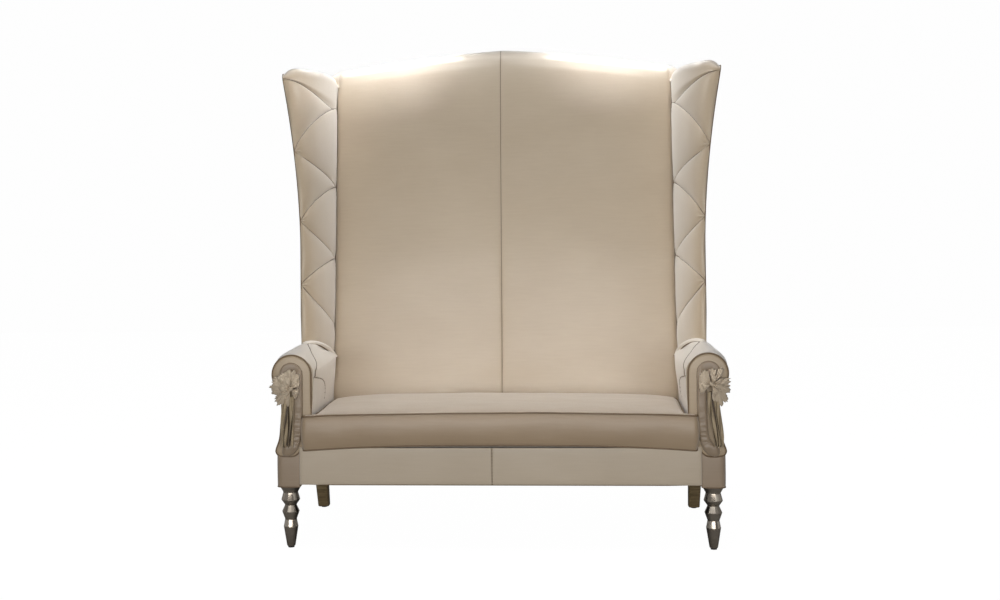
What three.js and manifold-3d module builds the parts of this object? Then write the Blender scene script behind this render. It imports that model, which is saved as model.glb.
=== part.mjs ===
// A high back settee: camel back, quilted wings, scroll arms with rosettes, one loose
// T cushion and turned metal front legs. Millimetres, +Z up, the seat faces -Y, and
// the floor is Z = 0. Right-hand pieces lie at +X.
import * as THREE from "three";
import { mergeVertices } from "three/addons/utils/BufferGeometryUtils.js";
import Module from "manifold-3d";

const wasm = await Module();
wasm.setup();

// Fits
const touchGap = 0.3; // between fixed pieces that lie on each other
const looseGap = 6; // round the loose cushion
const earGap = 4; // between the cushion's ears and the arm facings
const cushionRearGap = 24; // to the back's front face at the cushion's top

// Heights, stacked up from the floor
const legHeight = 214;
const railLift = 10; // rails start this much above the leg blocks' underside
const railHeight = 100;
const blockRise = 11; // leg blocks end this much above the rails
const webbingThickness = 2.5;
const deckThickness = 25;
const cushionThickness = 114; // border, without the crown
const cushionCrown = 16;
const scrollRise = 246; // from the seat deck to the centre of the arm scroll
const shoulderRise = 1377; // from the seat deck to the ends of the camel curve
const camelRise = 73;

// Widths: the seat between the arms, then steps outwards on each side
const armInnerHalfWidth = 638; // at the arm fronts
const armSplay = 20; // extra half width at the back
const earWidth = 37; // the cushion's ears in front of the arms
const cornerStep = 41; // from an arm's inner face to the corner cover's seam
const armWidth = 100; // from an arm's inner face to its waist outside
const baseFlare = 22; // the base stands this much outside the waist
const wingStandOut = 3; // a wing's outer edge lies this much outside the waist
const wingFlare = 65; // extra half width at the top of a wing

// Depths, as steps from the front plane of the arm facings
const frontY = -428;
const cornerSetback = 4;
const railCoverProud = 8;
const cushionProud = 27;
const rosetteDepth = 24;
const armShow = 380; // arm in front of the wing
const wingSweep = 45; // how far a wing's edge leans back up to its top
const seatDepth = 605; // from the front plane to the back's front face
const seatDepthRise = 170; // the height above the deck where that is measured
const rakeShare = 0.14; // how far the back leans for each unit of height

// Thicknesses
const coverThickness = 6; // outside panels
const cornerCoverThickness = 8;
const railCoverThickness = 11.7;
const facingThickness = 7.7;
const railThickness = 32;
const boardThickness = 22; // wing boards
const backPadThickness = 62;
const postDepth = 44;
const capThickness = 40; // padding over the top rail
const wingCapThickness = 16; // padding over a wing board
const armWallThickness = 40;
const capRadius = 48; // front edge of the back's top
const capRearRadius = 24;

// Padding, seams and roundings
const wingPuff = 17; // how far a wing's padding swells between two seams
const wingRollPadding = 14; // over a wing board's inner front corner
const lidRearCrown = 1.5; // how far a wing's top swells at the rear
const backCrown = 15;
const cushionWaist = 5; // the border is drawn in this much between its two welts
const cushionEdge = 7; // the bottom edge is rounded this much
const cushionCornerRadius = 9;
const cornerCoverRadius = 14;
const seamDepth = 2;
const seamHalfWidth = 3;

// Arm scroll
const scrollRadius = 66;
const scrollRearRadius = 58;
const rollSwell = 10; // how far the roll's top swells behind its facing
const underScrollDrop = 41; // from the scroll centre to the roll's underside
const armRailHeight = 40;

// Trims
const stripWidth = 32;
const stripThickness = 15.7;
const stripHookRadius = 22;
const tongueDrop = 9; // the strip's tongue ends this much below the blocks' top
const tongueShift = 35;
const stripBendRise = 108; // from the tongue's end to where the strip bends
const rosetteRadius = 53;
const rosetteDrop = 32; // below the scroll centre
const tailThickness = 6;
const tailLength = 158;
const tailWidth = 9;
const tailPitch = 11.5;
const tailBand = 20; // height of the band that joins the tails

// Legs
const legTopRadius = 34;
const rearLegTopWidth = 54;
const rearLegFootWidth = 43;
const rearLegRake = 76; // how far the foot lies behind the top
const glideThickness = 4;
const glideRadius = 11;
const boltRadius = 5;
const boltLength = 70;
const legFacets = 12;
const legShare = 0.57; // where a leg stands, from its block's inner to its outer side

// Frame members
const postWidthGap = 1; // back pad's edge to the posts
const boardDrop = 4; // wing boards end this much under the top rail's ends
const lowerBackRailHeight = 96;
const topRailHeight = 96; // at its ends
const centrePostWidth = 40;
const stretcherWidth = 32;
const blockDepth = 68;
const rearBlockWidth = 82;

const coverColor = 0xb9a88f;
const cushionColor = 0xa18a6c;
const woodColor = 0xc09a68;
const webbingColor = 0x7a6549;
const legColor = 0x6a6258;
const rearLegColor = 0x5c4c38;
const darkColor = 0x2c2a28;

// Heights that several pieces share
const blockBottom = legHeight + touchGap;
const railBottom = blockBottom + railLift;
const railTop = railBottom + railHeight;
const blockTop = railTop + blockRise;
const webbingBottom = railTop + touchGap;
const webbingTop = webbingBottom + webbingThickness;
const deckBottom = webbingTop + touchGap;
const deckTop = deckBottom + deckThickness;
const armPadBottom = blockTop + touchGap;
const cushionBottom = deckTop + touchGap;
const cushionTop = cushionBottom + cushionThickness;
const scrollHeight = deckTop + scrollRise;
const armUndersideHeight = scrollHeight - underScrollDrop;
const armTop = scrollHeight + scrollRadius + rollSwell / 2;
const wingBase = armTop + touchGap * 2;
const shoulderHeight = deckTop + shoulderRise;
const boardTop = shoulderHeight - capThickness - boardDrop;
const wingHeight = boardTop + wingCapThickness;
const topRailBottom = boardTop - topRailHeight;
const tongueBottom = blockTop - tongueDrop;

// Half widths that several pieces share
const cornerHalfWidth = armInnerHalfWidth + cornerStep;
const waistHalfWidth = armInnerHalfWidth + armWidth;
const baseHalfWidth = waistHalfWidth + baseFlare;
const wingLowHalfWidth = waistHalfWidth + wingStandOut;
const scrollHalfWidth = armInnerHalfWidth + scrollRadius;
const cushionHalfWidth = armInnerHalfWidth - looseGap * 2;
const earHalfWidth = cushionHalfWidth + earWidth;
const rosetteX = earHalfWidth + looseGap + rosetteRadius;
const backPadHalfWidth = armInnerHalfWidth + armSplay + touchGap * 5;
const postInnerHalfWidth = backPadHalfWidth + postWidthGap;
const frameHalfWidth = baseHalfWidth - cornerCoverThickness - touchGap;
const blockInnerHalfWidth = cornerHalfWidth + touchGap * 2;
const legHalfWidth = lerp(blockInnerHalfWidth, frameHalfWidth, legShare);

// Depths that several pieces share
const cornerFrontY = frontY + cornerSetback;
const railCoverFrontY = frontY - railCoverProud;
const cushionFrontY = frontY - cushionProud;
const frontRailY = railCoverFrontY + railCoverThickness + touchGap;
const blockFrontY = cornerFrontY + cornerCoverThickness + touchGap;
const frontBlockRearY = blockFrontY + blockDepth;
const legLineY = (blockFrontY + frontBlockRearY) / 2;
const stumpFrontY = frontY + facingThickness + touchGap;
const stripFrontY = frontY - touchGap - stripThickness;
const rosetteFrontY = stripFrontY - rosetteDepth;
const wingLowY = frontY + armShow;
const wingTopY = wingLowY + wingSweep;
const postFront = backPadThickness + webbingThickness;
const postRear = postFront + postDepth;
const backThickness = postRear + coverThickness;

const swell = 0.6; // how flat-topped a padded curve is, 1 for a plain sine

// A value part of the way from one to another, exact where the two are equal.
function lerp(from, to, share) {
  return from + (to - from) * share;
}

// Padding between two seams: nothing at shares 0 and 1, full in the middle.
function padded(share) {
  return Math.pow(Math.max(0, Math.sin(Math.PI * share)), swell);
}

// The front face of the back leans: its place at a height.
function backY(height) {
  const measuredAt = deckTop + seatDepthRise;
  return frontY + seatDepth + (height - measuredAt) * rakeShare;
}

// The camel line: the height of the back's top at a distance from the middle.
function camelHeight(x) {
  const power = 1.35;
  const share = Math.min(1, Math.abs(x) / backPadHalfWidth);
  return shoulderHeight + camelRise * (1 - Math.pow(share, power));
}

const rearFrameY = backY(blockBottom) + postRear;
const rearLegTopY = rearFrameY - rearBlockWidth / 2;

// Stations across one half of the back, and levels up a wing, that all layers share.
const camelShares = [0, 0.02, 0.1, 0.25, 0.45, 0.65, 0.82, 0.93, 0.985, 1];
const wingLevelCount = 14;

function wingLevel(i) {
  return lerp(wingBase, boardTop, i / wingLevelCount);
}

// The underside of the cap, from the back's edge to its middle.
function underCapOutline() {
  const points = [[backPadHalfWidth + touchGap, boardTop]];
  for (const share of camelShares.slice(1).reverse()) {
    const x = share * backPadHalfWidth;
    points.push([x, camelHeight(x) - capThickness - touchGap]);
  }
  return points;
}

// A wing's outer edge bends outwards towards its top.
function wingOuterX(height) {
  const straightShare = 0.33;
  const power = 1.6;
  const share = (height - wingBase) / (wingHeight - wingBase);
  const bend = Math.max(0, (share - straightShare) / (1 - straightShare));
  return wingLowHalfWidth + wingFlare * Math.pow(bend, power);
}

function wingFrontY(height) {
  const share = (height - wingBase) / (wingHeight - wingBase);
  return lerp(wingLowY, wingTopY, Math.max(0, share));
}

function boardOuterX(height) {
  return wingOuterX(height) - coverThickness - touchGap;
}

function postOuterX(height) {
  return boardOuterX(height) - boardThickness - touchGap;
}

// A wing's inside is a quarter round in plan. Its board stops far enough behind that
// round for its inner front corner to stay padded.
function boardFrontY(height) {
  const span = wingOuterX(height) - postInnerHalfWidth;
  const cosine = (wingOuterX(height) - postOuterX(height)) / span;
  const depthShare = Math.sqrt(1 - cosine * cosine);
  return lerp(backY(height), wingFrontY(height), depthShare) + wingRollPadding;
}

// Turns every face outwards and drops faces that have shrunk to nothing.
function closedSkin(positions, faces) {
  const raw = new THREE.BufferGeometry();
  raw.setAttribute("position", new THREE.Float32BufferAttribute(positions, 3));
  raw.setIndex(faces);
  const skin = mergeVertices(raw, touchGap / 100);
  const kept = [];
  const old = skin.index.array;
  for (let i = 0; i < old.length; i += 3) {
    const [a, b, c] = [old[i], old[i + 1], old[i + 2]];
    if (a !== b && b !== c && c !== a) kept.push(a, b, c);
  }
  if (volumeOf(skin.getAttribute("position"), kept) < 0) kept.reverse();
  skin.setIndex(kept);
  return skin;
}

function volumeOf(position, faces) {
  const [a, b, c] = [new THREE.Vector3(), new THREE.Vector3(), new THREE.Vector3()];
  let total = 0;
  for (let i = 0; i < faces.length; i += 3) {
    a.fromBufferAttribute(position, faces[i]);
    b.fromBufferAttribute(position, faces[i + 1]);
    c.fromBufferAttribute(position, faces[i + 2]);
    total += a.dot(b.cross(c));
  }
  return total;
}

// A skin through closed rings of [x, y, z] points, with a flat patch on both ends.
// flatAxes names the two coordinates in which the end patches are filled.
function loft(rings, flatAxes) {
  const size = rings[0].length;
  const positions = rings.flat(2);
  const faces = [];
  for (let r = 0; r + 1 < rings.length; r += 1) {
    for (let i = 0; i < size; i += 1) {
      const a = r * size + i;
      const b = r * size + ((i + 1) % size);
      faces.push(a, b, b + size, a, b + size, a + size);
    }
  }
  const turned = signedArea(rings[0], flatAxes) < 0;
  for (const [ring, start, flip] of [
    [rings[0], 0, true],
    [rings[rings.length - 1], (rings.length - 1) * size, false],
  ]) {
    const outline = ring.map((p) => new THREE.Vector2(p[flatAxes[0]], p[flatAxes[1]]));
    if (turned) outline.reverse();
    for (const face of THREE.ShapeUtils.triangulateShape(outline, [])) {
      const [a, b, c] = face.map((i) => start + (turned ? size - 1 - i : i));
      faces.push(...(flip !== turned ? [c, b, a] : [a, b, c]));
    }
  }
  return closedSkin(positions, faces);
}

function signedArea(ring, [u, v]) {
  let total = 0;
  ring.forEach((p, i) => {
    const q = ring[(i + 1) % ring.length];
    total += p[u] * q[v] - q[u] * p[v];
  });
  return total;
}

const frontView = [0, 2]; // x and z
const sideView = [1, 2]; // y and z
const planView = [0, 1]; // x and y

// A plate whose outline is drawn in the front view, as [x, z] points, and whose two
// faces lie at depths that may change with the height.
function plate(outline, frontAt, rearAt) {
  const ringAt = (depth) => outline.map(([x, z]) => [x, depth(x, z), z]);
  return loft([ringAt(frontAt), ringAt(rearAt)], frontView);
}

function uprightPlate(outline, front, rear) {
  return plate(outline, () => front, () => rear);
}

// A plate that leans with the back: its faces lie behind the back's front face.
function rakedPlate(outline, front, rear) {
  return plate(
    outline,
    (x, z) => backY(z) + front,
    (x, z) => backY(z) + rear,
  );
}

function block([x0, x1], [y0, y1], [z0, z1]) {
  const geometry = new THREE.BoxGeometry(Math.abs(x1 - x0), y1 - y0, z1 - z0);
  geometry.translate((x0 + x1) / 2, (y0 + y1) / 2, (z0 + z1) / 2);
  return geometry;
}

function mirroredOutline(half) {
  const other = half.map(([x, z]) => [-x, z]).reverse();
  return [...half, ...other];
}

function solidOf(geometry) {
  const bare = new THREE.BufferGeometry();
  const flat = geometry.index ? geometry.toNonIndexed() : geometry;
  bare.setAttribute("position", flat.getAttribute("position"));
  const merged = mergeVertices(bare, touchGap / 100);
  const mesh = new wasm.Mesh({
    numProp: 3,
    vertProperties: merged.getAttribute("position").array,
    triVerts: new Uint32Array(merged.index.array),
  });
  return new wasm.Manifold(mesh);
}

function geometryOf(solid) {
  const mesh = solid.getMesh();
  const geometry = new THREE.BufferGeometry();
  const position = new THREE.BufferAttribute(mesh.vertProperties, 3);
  geometry.setAttribute("position", position);
  geometry.setIndex(new THREE.BufferAttribute(mesh.triVerts, 1));
  return geometry;
}

// A piece with a bolt hole bored into it, upright, from one height to another.
function bored(geometry, x, y, low, high) {
  const drill = new THREE.CylinderGeometry(
    boltRadius + touchGap,
    boltRadius + touchGap,
    high - low,
    legFacets,
  );
  drill.rotateX(Math.PI / 2);
  drill.translate(x, y, (low + high) / 2);
  return geometryOf(solidOf(geometry).subtract(solidOf(drill)));
}

const settee = new THREE.Group();
settee.name = "high_back_settee";

function add(name, geometry, color, roughness, metalness = 0) {
  const material = new THREE.MeshStandardMaterial({ color, roughness, metalness });
  const mesh = new THREE.Mesh(geometry, material);
  mesh.name = name;
  settee.add(mesh);
}

function addWood(name, geometry) {
  const roughness = 0.8;
  add(name, geometry, woodColor, roughness);
}

function addCover(name, geometry, color = coverColor) {
  const roughness = 0.45;
  add(name, geometry, color, roughness);
}

const sides = [
  ["left", -1],
  ["right", 1],
];

const boltMiddle = legHeight + touchGap / 2;
const boltLow = boltMiddle - boltLength / 2;
const boltHigh = boltMiddle + boltLength / 2;

// A front leg is turned with three bulges, then cut to flat facets.
function frontLeg(side) {
  const radiusShares = [0.37, 0.656, 0.52, 0.773, 0.497, 0.828, 0.69, 0.94, 1, 1];
  const heightShares = [0, 0.33, 0.452, 0.576, 0.686, 0.786, 0.89, 0.95, 0.98, 1];
  const height = legHeight - glideThickness - touchGap;
  const outline = radiusShares.map(
    (share, i) => new THREE.Vector2(share * legTopRadius, heightShares[i] * height),
  );
  outline.unshift(new THREE.Vector2(0, 0));
  outline.push(new THREE.Vector2(0, height));
  const geometry = new THREE.LatheGeometry(outline, legFacets);
  geometry.rotateX(Math.PI / 2);
  geometry.translate(side * legHalfWidth, legLineY, glideThickness + touchGap);
  const x = side * legHalfWidth;
  return bored(geometry, x, legLineY, boltLow - touchGap, legHeight + boltRadius);
}

function bolt(side) {
  const geometry = new THREE.CylinderGeometry(
    boltRadius,
    boltRadius,
    boltLength,
    legFacets,
  );
  geometry.rotateX(Math.PI / 2);
  geometry.translate(side * legHalfWidth, legLineY, boltMiddle);
  return geometry;
}

function glide(x, y) {
  const geometry = new THREE.CylinderGeometry(
    glideRadius,
    glideRadius,
    glideThickness,
    legFacets,
  );
  geometry.rotateX(Math.PI / 2);
  geometry.translate(x, y, glideThickness / 2);
  return geometry;
}

// A rear leg tapers, leans back and has chamfered corners.
function rearLeg(side) {
  const chamferShare = 0.16;
  const ringAt = (width, y, z) => {
    const half = width / 2;
    const cut = width * chamferShare;
    const corners = [
      [half, half - cut],
      [half - cut, half],
      [cut - half, half],
      [-half, half - cut],
      [-half, cut - half],
      [cut - half, -half],
      [half - cut, -half],
      [half, cut - half],
    ];
    return corners.map(([dx, dy]) => [side * legHalfWidth + dx, y + dy, z]);
  };
  return loft(
    [
      ringAt(rearLegFootWidth, rearLegTopY + rearLegRake, glideThickness + touchGap),
      ringAt(rearLegTopWidth, rearLegTopY, legHeight),
    ],
    planView,
  );
}

function legsAndGlides() {
  for (const [name, side] of sides) {
    add(`${name}_front_leg`, frontLeg(side), legColor, 0.3, 0.85);
    add(`${name}_front_leg_bolt`, bolt(side), darkColor, 0.4, 0.9);
    add(`${name}_rear_leg`, rearLeg(side), rearLegColor, 0.5);
    const x = side * legHalfWidth;
    add(`${name}_front_glide`, glide(x, legLineY), darkColor, 0.6);
    add(`${name}_rear_glide`, glide(x, rearLegTopY + rearLegRake), darkColor, 0.6);
  }
}

const rearBlockInner = frameHalfWidth - rearBlockWidth;
const sideRailInner = frameHalfWidth - railThickness;
const rearBlockFrontY = rearFrameY - rearBlockWidth;

function seatFrame() {
  const heights = [railBottom, railTop];
  const frontHalf = blockInnerHalfWidth - touchGap;
  const frontRail = [frontRailY, frontRailY + railThickness];
  addWood("front_seat_rail", block([-frontHalf, frontHalf], frontRail, heights));
  const rearHalf = rearBlockInner - touchGap;
  const rearRail = [rearFrameY - railThickness, rearFrameY];
  addWood("rear_seat_rail", block([-rearHalf, rearHalf], rearRail, heights));
  const between = [frontRail[1] + touchGap, rearRail[0] - touchGap];
  const half = stretcherWidth / 2;
  addWood("centre_stretcher", block([-half, half], between, heights));
  for (const [name, side] of sides) {
    const sideRail = [frontBlockRearY + touchGap, rearBlockFrontY - touchGap];
    const across = [side * sideRailInner, side * frameHalfWidth];
    addWood(`${name}_seat_rail`, block(across, sideRail, heights));
    const blockHeights = [blockBottom, blockTop];
    const frontBlock = block(
      [side * blockInnerHalfWidth, side * frameHalfWidth],
      [blockFrontY, frontBlockRearY],
      blockHeights,
    );
    const drilled = bored(
      frontBlock,
      side * legHalfWidth,
      legLineY,
      blockBottom - boltRadius,
      boltHigh + touchGap,
    );
    addWood(`${name}_front_leg_block`, drilled);
    const rearBlock = block(
      [side * rearBlockInner, side * frameHalfWidth],
      [rearBlockFrontY, rearFrameY],
      blockHeights,
    );
    addWood(`${name}_rear_leg_block`, rearBlock);
  }
}

function backFrame() {
  const lowHeight = deckBottom;
  const lowTop = lowHeight + lowerBackRailHeight;
  const lowHalf = postInnerHalfWidth - touchGap;
  const lowOutline = mirroredOutline([
    [lowHalf, lowHeight],
    [lowHalf, lowTop],
  ]);
  addWood("lower_back_rail", rakedPlate(lowOutline, postFront, postRear));
  const postTop = topRailBottom - touchGap;
  const half = centrePostWidth / 2;
  const middleOutline = mirroredOutline([
    [half, lowTop + touchGap],
    [half, postTop],
  ]);
  addWood("back_centre_post", rakedPlate(middleOutline, postFront, postRear));
  const railHalf = [
    [postOuterX(topRailBottom), topRailBottom],
    [postOuterX(boardTop), boardTop],
    ...underCapOutline(),
  ];
  addWood("camel_top_rail", rakedPlate(mirroredOutline(railHalf), postFront, postRear));
  for (const [name, side] of sides) {
    const outline = [
      [side * postInnerHalfWidth, postTop],
      [side * postInnerHalfWidth, blockTop + touchGap],
      [side * postOuterX(wingBase), blockTop + touchGap],
    ];
    for (let i = 0; wingLevel(i) < postTop; i += 1) {
      const z = wingLevel(i);
      outline.push([side * postOuterX(z), z]);
    }
    outline.push([side * postOuterX(postTop), postTop]);
    addWood(`${name}_back_post`, rakedPlate(outline, postFront, postRear));
  }
}

// A flat layer of a wing, level by level, with four corners in plan. Its outer face
// lies at outerAt(height) and it stops behind the padding of the wing's front edge.
function wingLayer(side, outerAt, thickness) {
  const rings = [];
  for (let i = 0; i <= wingLevelCount; i += 1) {
    const z = wingLevel(i);
    const front = boardFrontY(z);
    const rear = backY(z) + postRear;
    const outer = side * outerAt(z);
    const inner = side * (outerAt(z) - thickness);
    rings.push([
      [outer, front, z],
      [outer, rear, z],
      [inner, rear, z],
      [inner, front, z],
    ]);
  }
  return loft(rings, planView);
}

const armRailOuter = waistHalfWidth - coverThickness - touchGap;
const armRailInner = armInnerHalfWidth + armWallThickness + touchGap;

function armFrame() {
  for (const [name, side] of sides) {
    const across = [side * armRailInner, side * armRailOuter];
    const railTopHeight = armUndersideHeight - touchGap;
    const railLow = railTopHeight - armRailHeight;
    const stumpRear = stumpFrontY + railThickness;
    const heights = [blockTop + touchGap, railLow - touchGap];
    addWood(`${name}_arm_stump`, block(across, [stumpFrontY, stumpRear], heights));
    const railRear = backY(railLow) + backPadThickness - touchGap;
    const rail = block(across, [stumpFrontY, railRear], [railLow, railTopHeight]);
    addWood(`${name}_arm_rail`, rail);
  }
}

// Half of a flat layer in plan: its middle part, and an ear that passes between the
// leg blocks.
function layerShape(frontY, rearY) {
  const inner = cornerHalfWidth;
  const outer = frameHalfWidth;
  const rearInner = rearBlockInner - touchGap;
  const earFront = frontBlockRearY + touchGap;
  const earRear = rearBlockFrontY - touchGap;
  const half = [
    [inner, frontY],
    [inner, earFront],
    [outer, earFront],
    [outer, earRear],
    [rearInner, earRear],
    [rearInner, rearY],
  ];
  return half;
}

function flatShape(points) {
  return new THREE.Shape(points.map(([x, y]) => new THREE.Vector2(x, y)));
}

// Square openings between woven bands, cut through a flat layer.
function cutOpenings(layer, [x0, x1], [y0, y1], columns, rows) {
  const bandShare = 0.2; // half of a band, as a share of the pitch
  const stepX = (x1 - x0) / columns;
  const stepY = (y1 - y0) / rows;
  const through = [-webbingThickness, webbingThickness * 2];
  let solid = solidOf(layer);
  for (let column = 0; column < columns; column += 1) {
    for (let row = 0; row < rows; row += 1) {
      const left = x0 + stepX * (column + bandShare);
      const right = x0 + stepX * (column + 1 - bandShare);
      const low = y0 + stepY * (row + bandShare);
      const high = y0 + stepY * (row + 1 - bandShare);
      solid = solid.subtract(solidOf(block([left, right], [low, high], through)));
    }
  }
  return geometryOf(solid);
}

function flatLayer(outline, thickness) {
  const settings = { depth: thickness, bevelEnabled: false };
  return new THREE.ExtrudeGeometry(flatShape(outline), settings);
}

function seatWebbing() {
  const outline = mirroredOutline(layerShape(frontRailY, rearFrameY));
  const inner = cornerHalfWidth - railThickness;
  const reach = [frontRailY + railThickness, rearFrameY - railThickness];
  const layer = flatLayer(outline, webbingThickness);
  const geometry = cutOpenings(layer, [-inner, inner], reach, 9, 4);
  geometry.translate(0, 0, webbingBottom);
  return geometry;
}

function dustCover() {
  const outline = mirroredOutline(layerShape(frontRailY, rearFrameY));
  const geometry = flatLayer(outline, webbingThickness);
  geometry.translate(0, 0, railBottom - touchGap - webbingThickness);
  return geometry;
}

// The back's webbing is cut flat, then leans with the back.
function backWebbing() {
  const edge = postOuterX(wingBase) - touchGap;
  const low = blockTop + touchGap;
  const high = boardTop - touchGap;
  const outline = mirroredOutline([
    [edge, low],
    [edge, high],
  ]);
  const inner = postInnerHalfWidth;
  const reach = [low + lowerBackRailHeight, topRailBottom];
  const layer = flatLayer(outline, webbingThickness - touchGap * 2);
  const geometry = cutOpenings(layer, [-inner, inner], reach, 8, 7);
  const position = geometry.getAttribute("position");
  for (let i = 0; i < position.count; i += 1) {
    const z = position.getY(i);
    const y = backY(z) + backPadThickness + touchGap + position.getZ(i);
    position.setXYZ(i, position.getX(i), y, z);
  }
  return closedSkin([...position.array], [...geometry.index.array]);
}

function seatDeck() {
  const half = armInnerHalfWidth - touchGap;
  const rear = backY(deckBottom) + backPadThickness - touchGap;
  return block([-half, half], [frontRailY, rear], [deckBottom, deckTop]);
}

// The back pad in side view at one distance from the middle: front face, rounded
// top, then the step where its cap lies over the top rail.
function backPadRing(x) {
  const crownShare = 0.985; // where the crown ends across the half width
  const faceShares = [0.12, 0.35, 0.6, 0.85];
  const arcSteps = 3;
  const top = camelHeight(x);
  const low = deckTop + touchGap;
  const spread = Math.min(1, Math.abs(x) / (backPadHalfWidth * crownShare));
  const bulge = backCrown * padded(spread);
  const ring = [[x, backY(low), low]];
  for (const share of faceShares) {
    const z = lerp(low, top - capRadius, share);
    ring.push([x, backY(z) - bulge * padded(share), z]);
  }
  for (let i = 0; i <= arcSteps; i += 1) {
    const angle = (Math.PI / 2) * (i / arcSteps);
    const z = top - capRadius * (1 - Math.sin(angle));
    ring.push([x, backY(z) + capRadius * (1 - Math.cos(angle)), z]);
  }
  for (let i = 0; i <= arcSteps; i += 1) {
    const angle = (Math.PI / 2) * (i / arcSteps);
    const z = top - capRearRadius * (1 - Math.cos(angle));
    const rear = backY(z) + backThickness;
    ring.push([x, rear - capRearRadius * (1 - Math.sin(angle)), z]);
  }
  const under = top - capThickness;
  const inside = backPadThickness - touchGap;
  ring.push([x, backY(under) + backThickness, under]);
  ring.push([x, backY(under) + inside, under]);
  ring.push([x, backY(low) + inside, low]);
  return ring;
}

function backPad() {
  const across = camelShares.map((share) => share * backPadHalfWidth);
  const mirrored = across.slice(1).reverse().map((x) => -x);
  const rings = [...mirrored, ...across].map((x) => backPadRing(x));
  return loft(rings, sideView);
}

function outsideBack() {
  const half = [
    [baseHalfWidth, railBottom],
    ...outsideArmLine(armUndersideHeight).reverse(),
  ];
  for (let i = 0; i <= wingLevelCount; i += 2) {
    const z = wingLevel(i);
    half.push([wingOuterX(z), z]);
  }
  half.push(...underCapOutline());
  const front = postRear + touchGap;
  return rakedPlate(mirroredOutline(half), front, backThickness);
}

// The seams of a wing zigzag between its inner and its outer edge. Each pair gives
// the heights of one seam's two ends, as shares of the wing's height.
const seamShares = [
  [0, 0],
  [0.046, 0.213],
  [0.299, 0.213],
  [0.299, 0.441],
  [0.569, 0.441],
  [0.569, 0.694],
  [0.872, 0.694],
  [0.872, 0.963],
];
const wingColumnCount = 9;
const lidRearShares = [0, 0.3, 0.7, 1]; // points across the rear of a wing's top

// One closed ring round a wing pad. Its inner end lies at one height and its outer
// end at another, puff is the swelling, pull draws the front in, and a ring that
// covers reaches back over the board.
function wingRing(side, inner, outer, puffAt, pull, covers) {
  const sidePull = pull / 2;
  const ring = [];
  for (let i = 0; i <= wingColumnCount; i += 1) {
    const u = i / wingColumnCount;
    const angle = (u * Math.PI) / 2;
    const z = lerp(inner, outer, u);
    const startX = postInnerHalfWidth;
    const spanX = wingOuterX(z) - startX;
    const spanY = wingFrontY(z) - backY(z);
    const puff = puffAt(u) * padded(u);
    const x = startX + spanX * (1 - Math.cos(angle)) - puff * Math.cos(angle);
    const y = backY(z) + spanY * Math.sin(angle) - puff * Math.sin(angle);
    ring.push([side * (x - sidePull * u), y + pull * Math.sin(angle), z]);
  }
  const edgeX = wingOuterX(outer);
  const edgeY = boardFrontY(outer) - touchGap;
  const boardX = postOuterX(outer);
  const rearGap = backPadThickness - touchGap;
  if (covers) {
    const rear = backY(outer) + backThickness;
    for (const share of lidRearShares) {
      const x = lerp(edgeX - sidePull, postInnerHalfWidth, share);
      ring.push([side * x, rear + lidRearCrown * padded(share), outer]);
    }
    return ring;
  }
  const middle = (inner + outer) / 2;
  ring.push([side * edgeX, edgeY, outer]);
  ring.push([side * boardX, edgeY, outer]);
  ring.push([side * postOuterX(middle), backY(middle) + rearGap, middle]);
  ring.push([side * postInnerHalfWidth, backY(inner) + rearGap, inner]);
  return ring;
}

function wingPad(side) {
  const rowShares = [0, 0.1, 0.3, 0.5, 0.7, 0.9];
  const lidShares = [0.3, 0.7];
  const fullShare = 0.2; // a channel this wide swells fully
  const span = wingHeight - wingBase;
  const rings = [];
  for (let k = 0; k + 1 < seamShares.length; k += 1) {
    const [lowInner, lowOuter] = seamShares[k].map((s) => wingBase + s * span);
    const [highInner, highOuter] = seamShares[k + 1].map((s) => wingBase + s * span);
    for (const share of rowShares) {
      const puffAt = (u) => {
        const width = lerp(highInner, highOuter, u) - lerp(lowInner, lowOuter, u);
        const room = Math.min(1, Math.max(0, width) / (span * fullShare));
        return wingPuff * padded(share) * Math.sqrt(room);
      };
      const inner = lerp(lowInner, highInner, share);
      const outer = lerp(lowOuter, highOuter, share);
      rings.push(wingRing(side, inner, outer, puffAt, 0, false));
    }
  }
  const [archInner, archOuter] = seamShares[seamShares.length - 1];
  const arch = [wingBase + archInner * span, wingBase + archOuter * span];
  const flat = boardTop + touchGap;
  rings.push(wingRing(side, arch[0], arch[1], () => 0, 0, false));
  for (const share of lidShares) {
    const inner = lerp(arch[0], flat, share);
    const outer = lerp(arch[1], flat, share);
    const puff = wingPuff * padded(share);
    rings.push(wingRing(side, inner, outer, () => puff, 0, false));
  }
  rings.push(wingRing(side, flat, flat, () => 0, 0, false));
  const lid = flat + touchGap;
  rings.push(wingRing(side, lid, lid, () => 0, 0, true));
  rings.push(wingRing(side, wingHeight, wingHeight, () => 0, wingPuff, true));
  return loft(rings, planView);
}

// The scroll's outline from its inner side over the top to under its outer side,
// at a share of the arm's length from the front.
function scrollArc(share, steps, fromX) {
  const endShare = 0.95; // of the way down to the roll's underside
  const radius = lerp(scrollRadius, scrollRearRadius, share);
  const rise = rollSwell * padded(share);
  const centreX = scrollHalfWidth + (scrollRadius - radius);
  const start = fromX === null ? Math.PI : Math.acos((fromX - centreX) / radius);
  const end = -Math.asin((underScrollDrop * endShare) / radius);
  const points = [];
  for (let i = 0; i <= steps; i += 1) {
    const angle = lerp(start, end, i / steps);
    points.push([
      centreX + radius * Math.cos(angle),
      scrollHeight + radius * Math.sin(angle) + rise * Math.max(0, Math.sin(angle)),
    ]);
  }
  return points;
}

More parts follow.
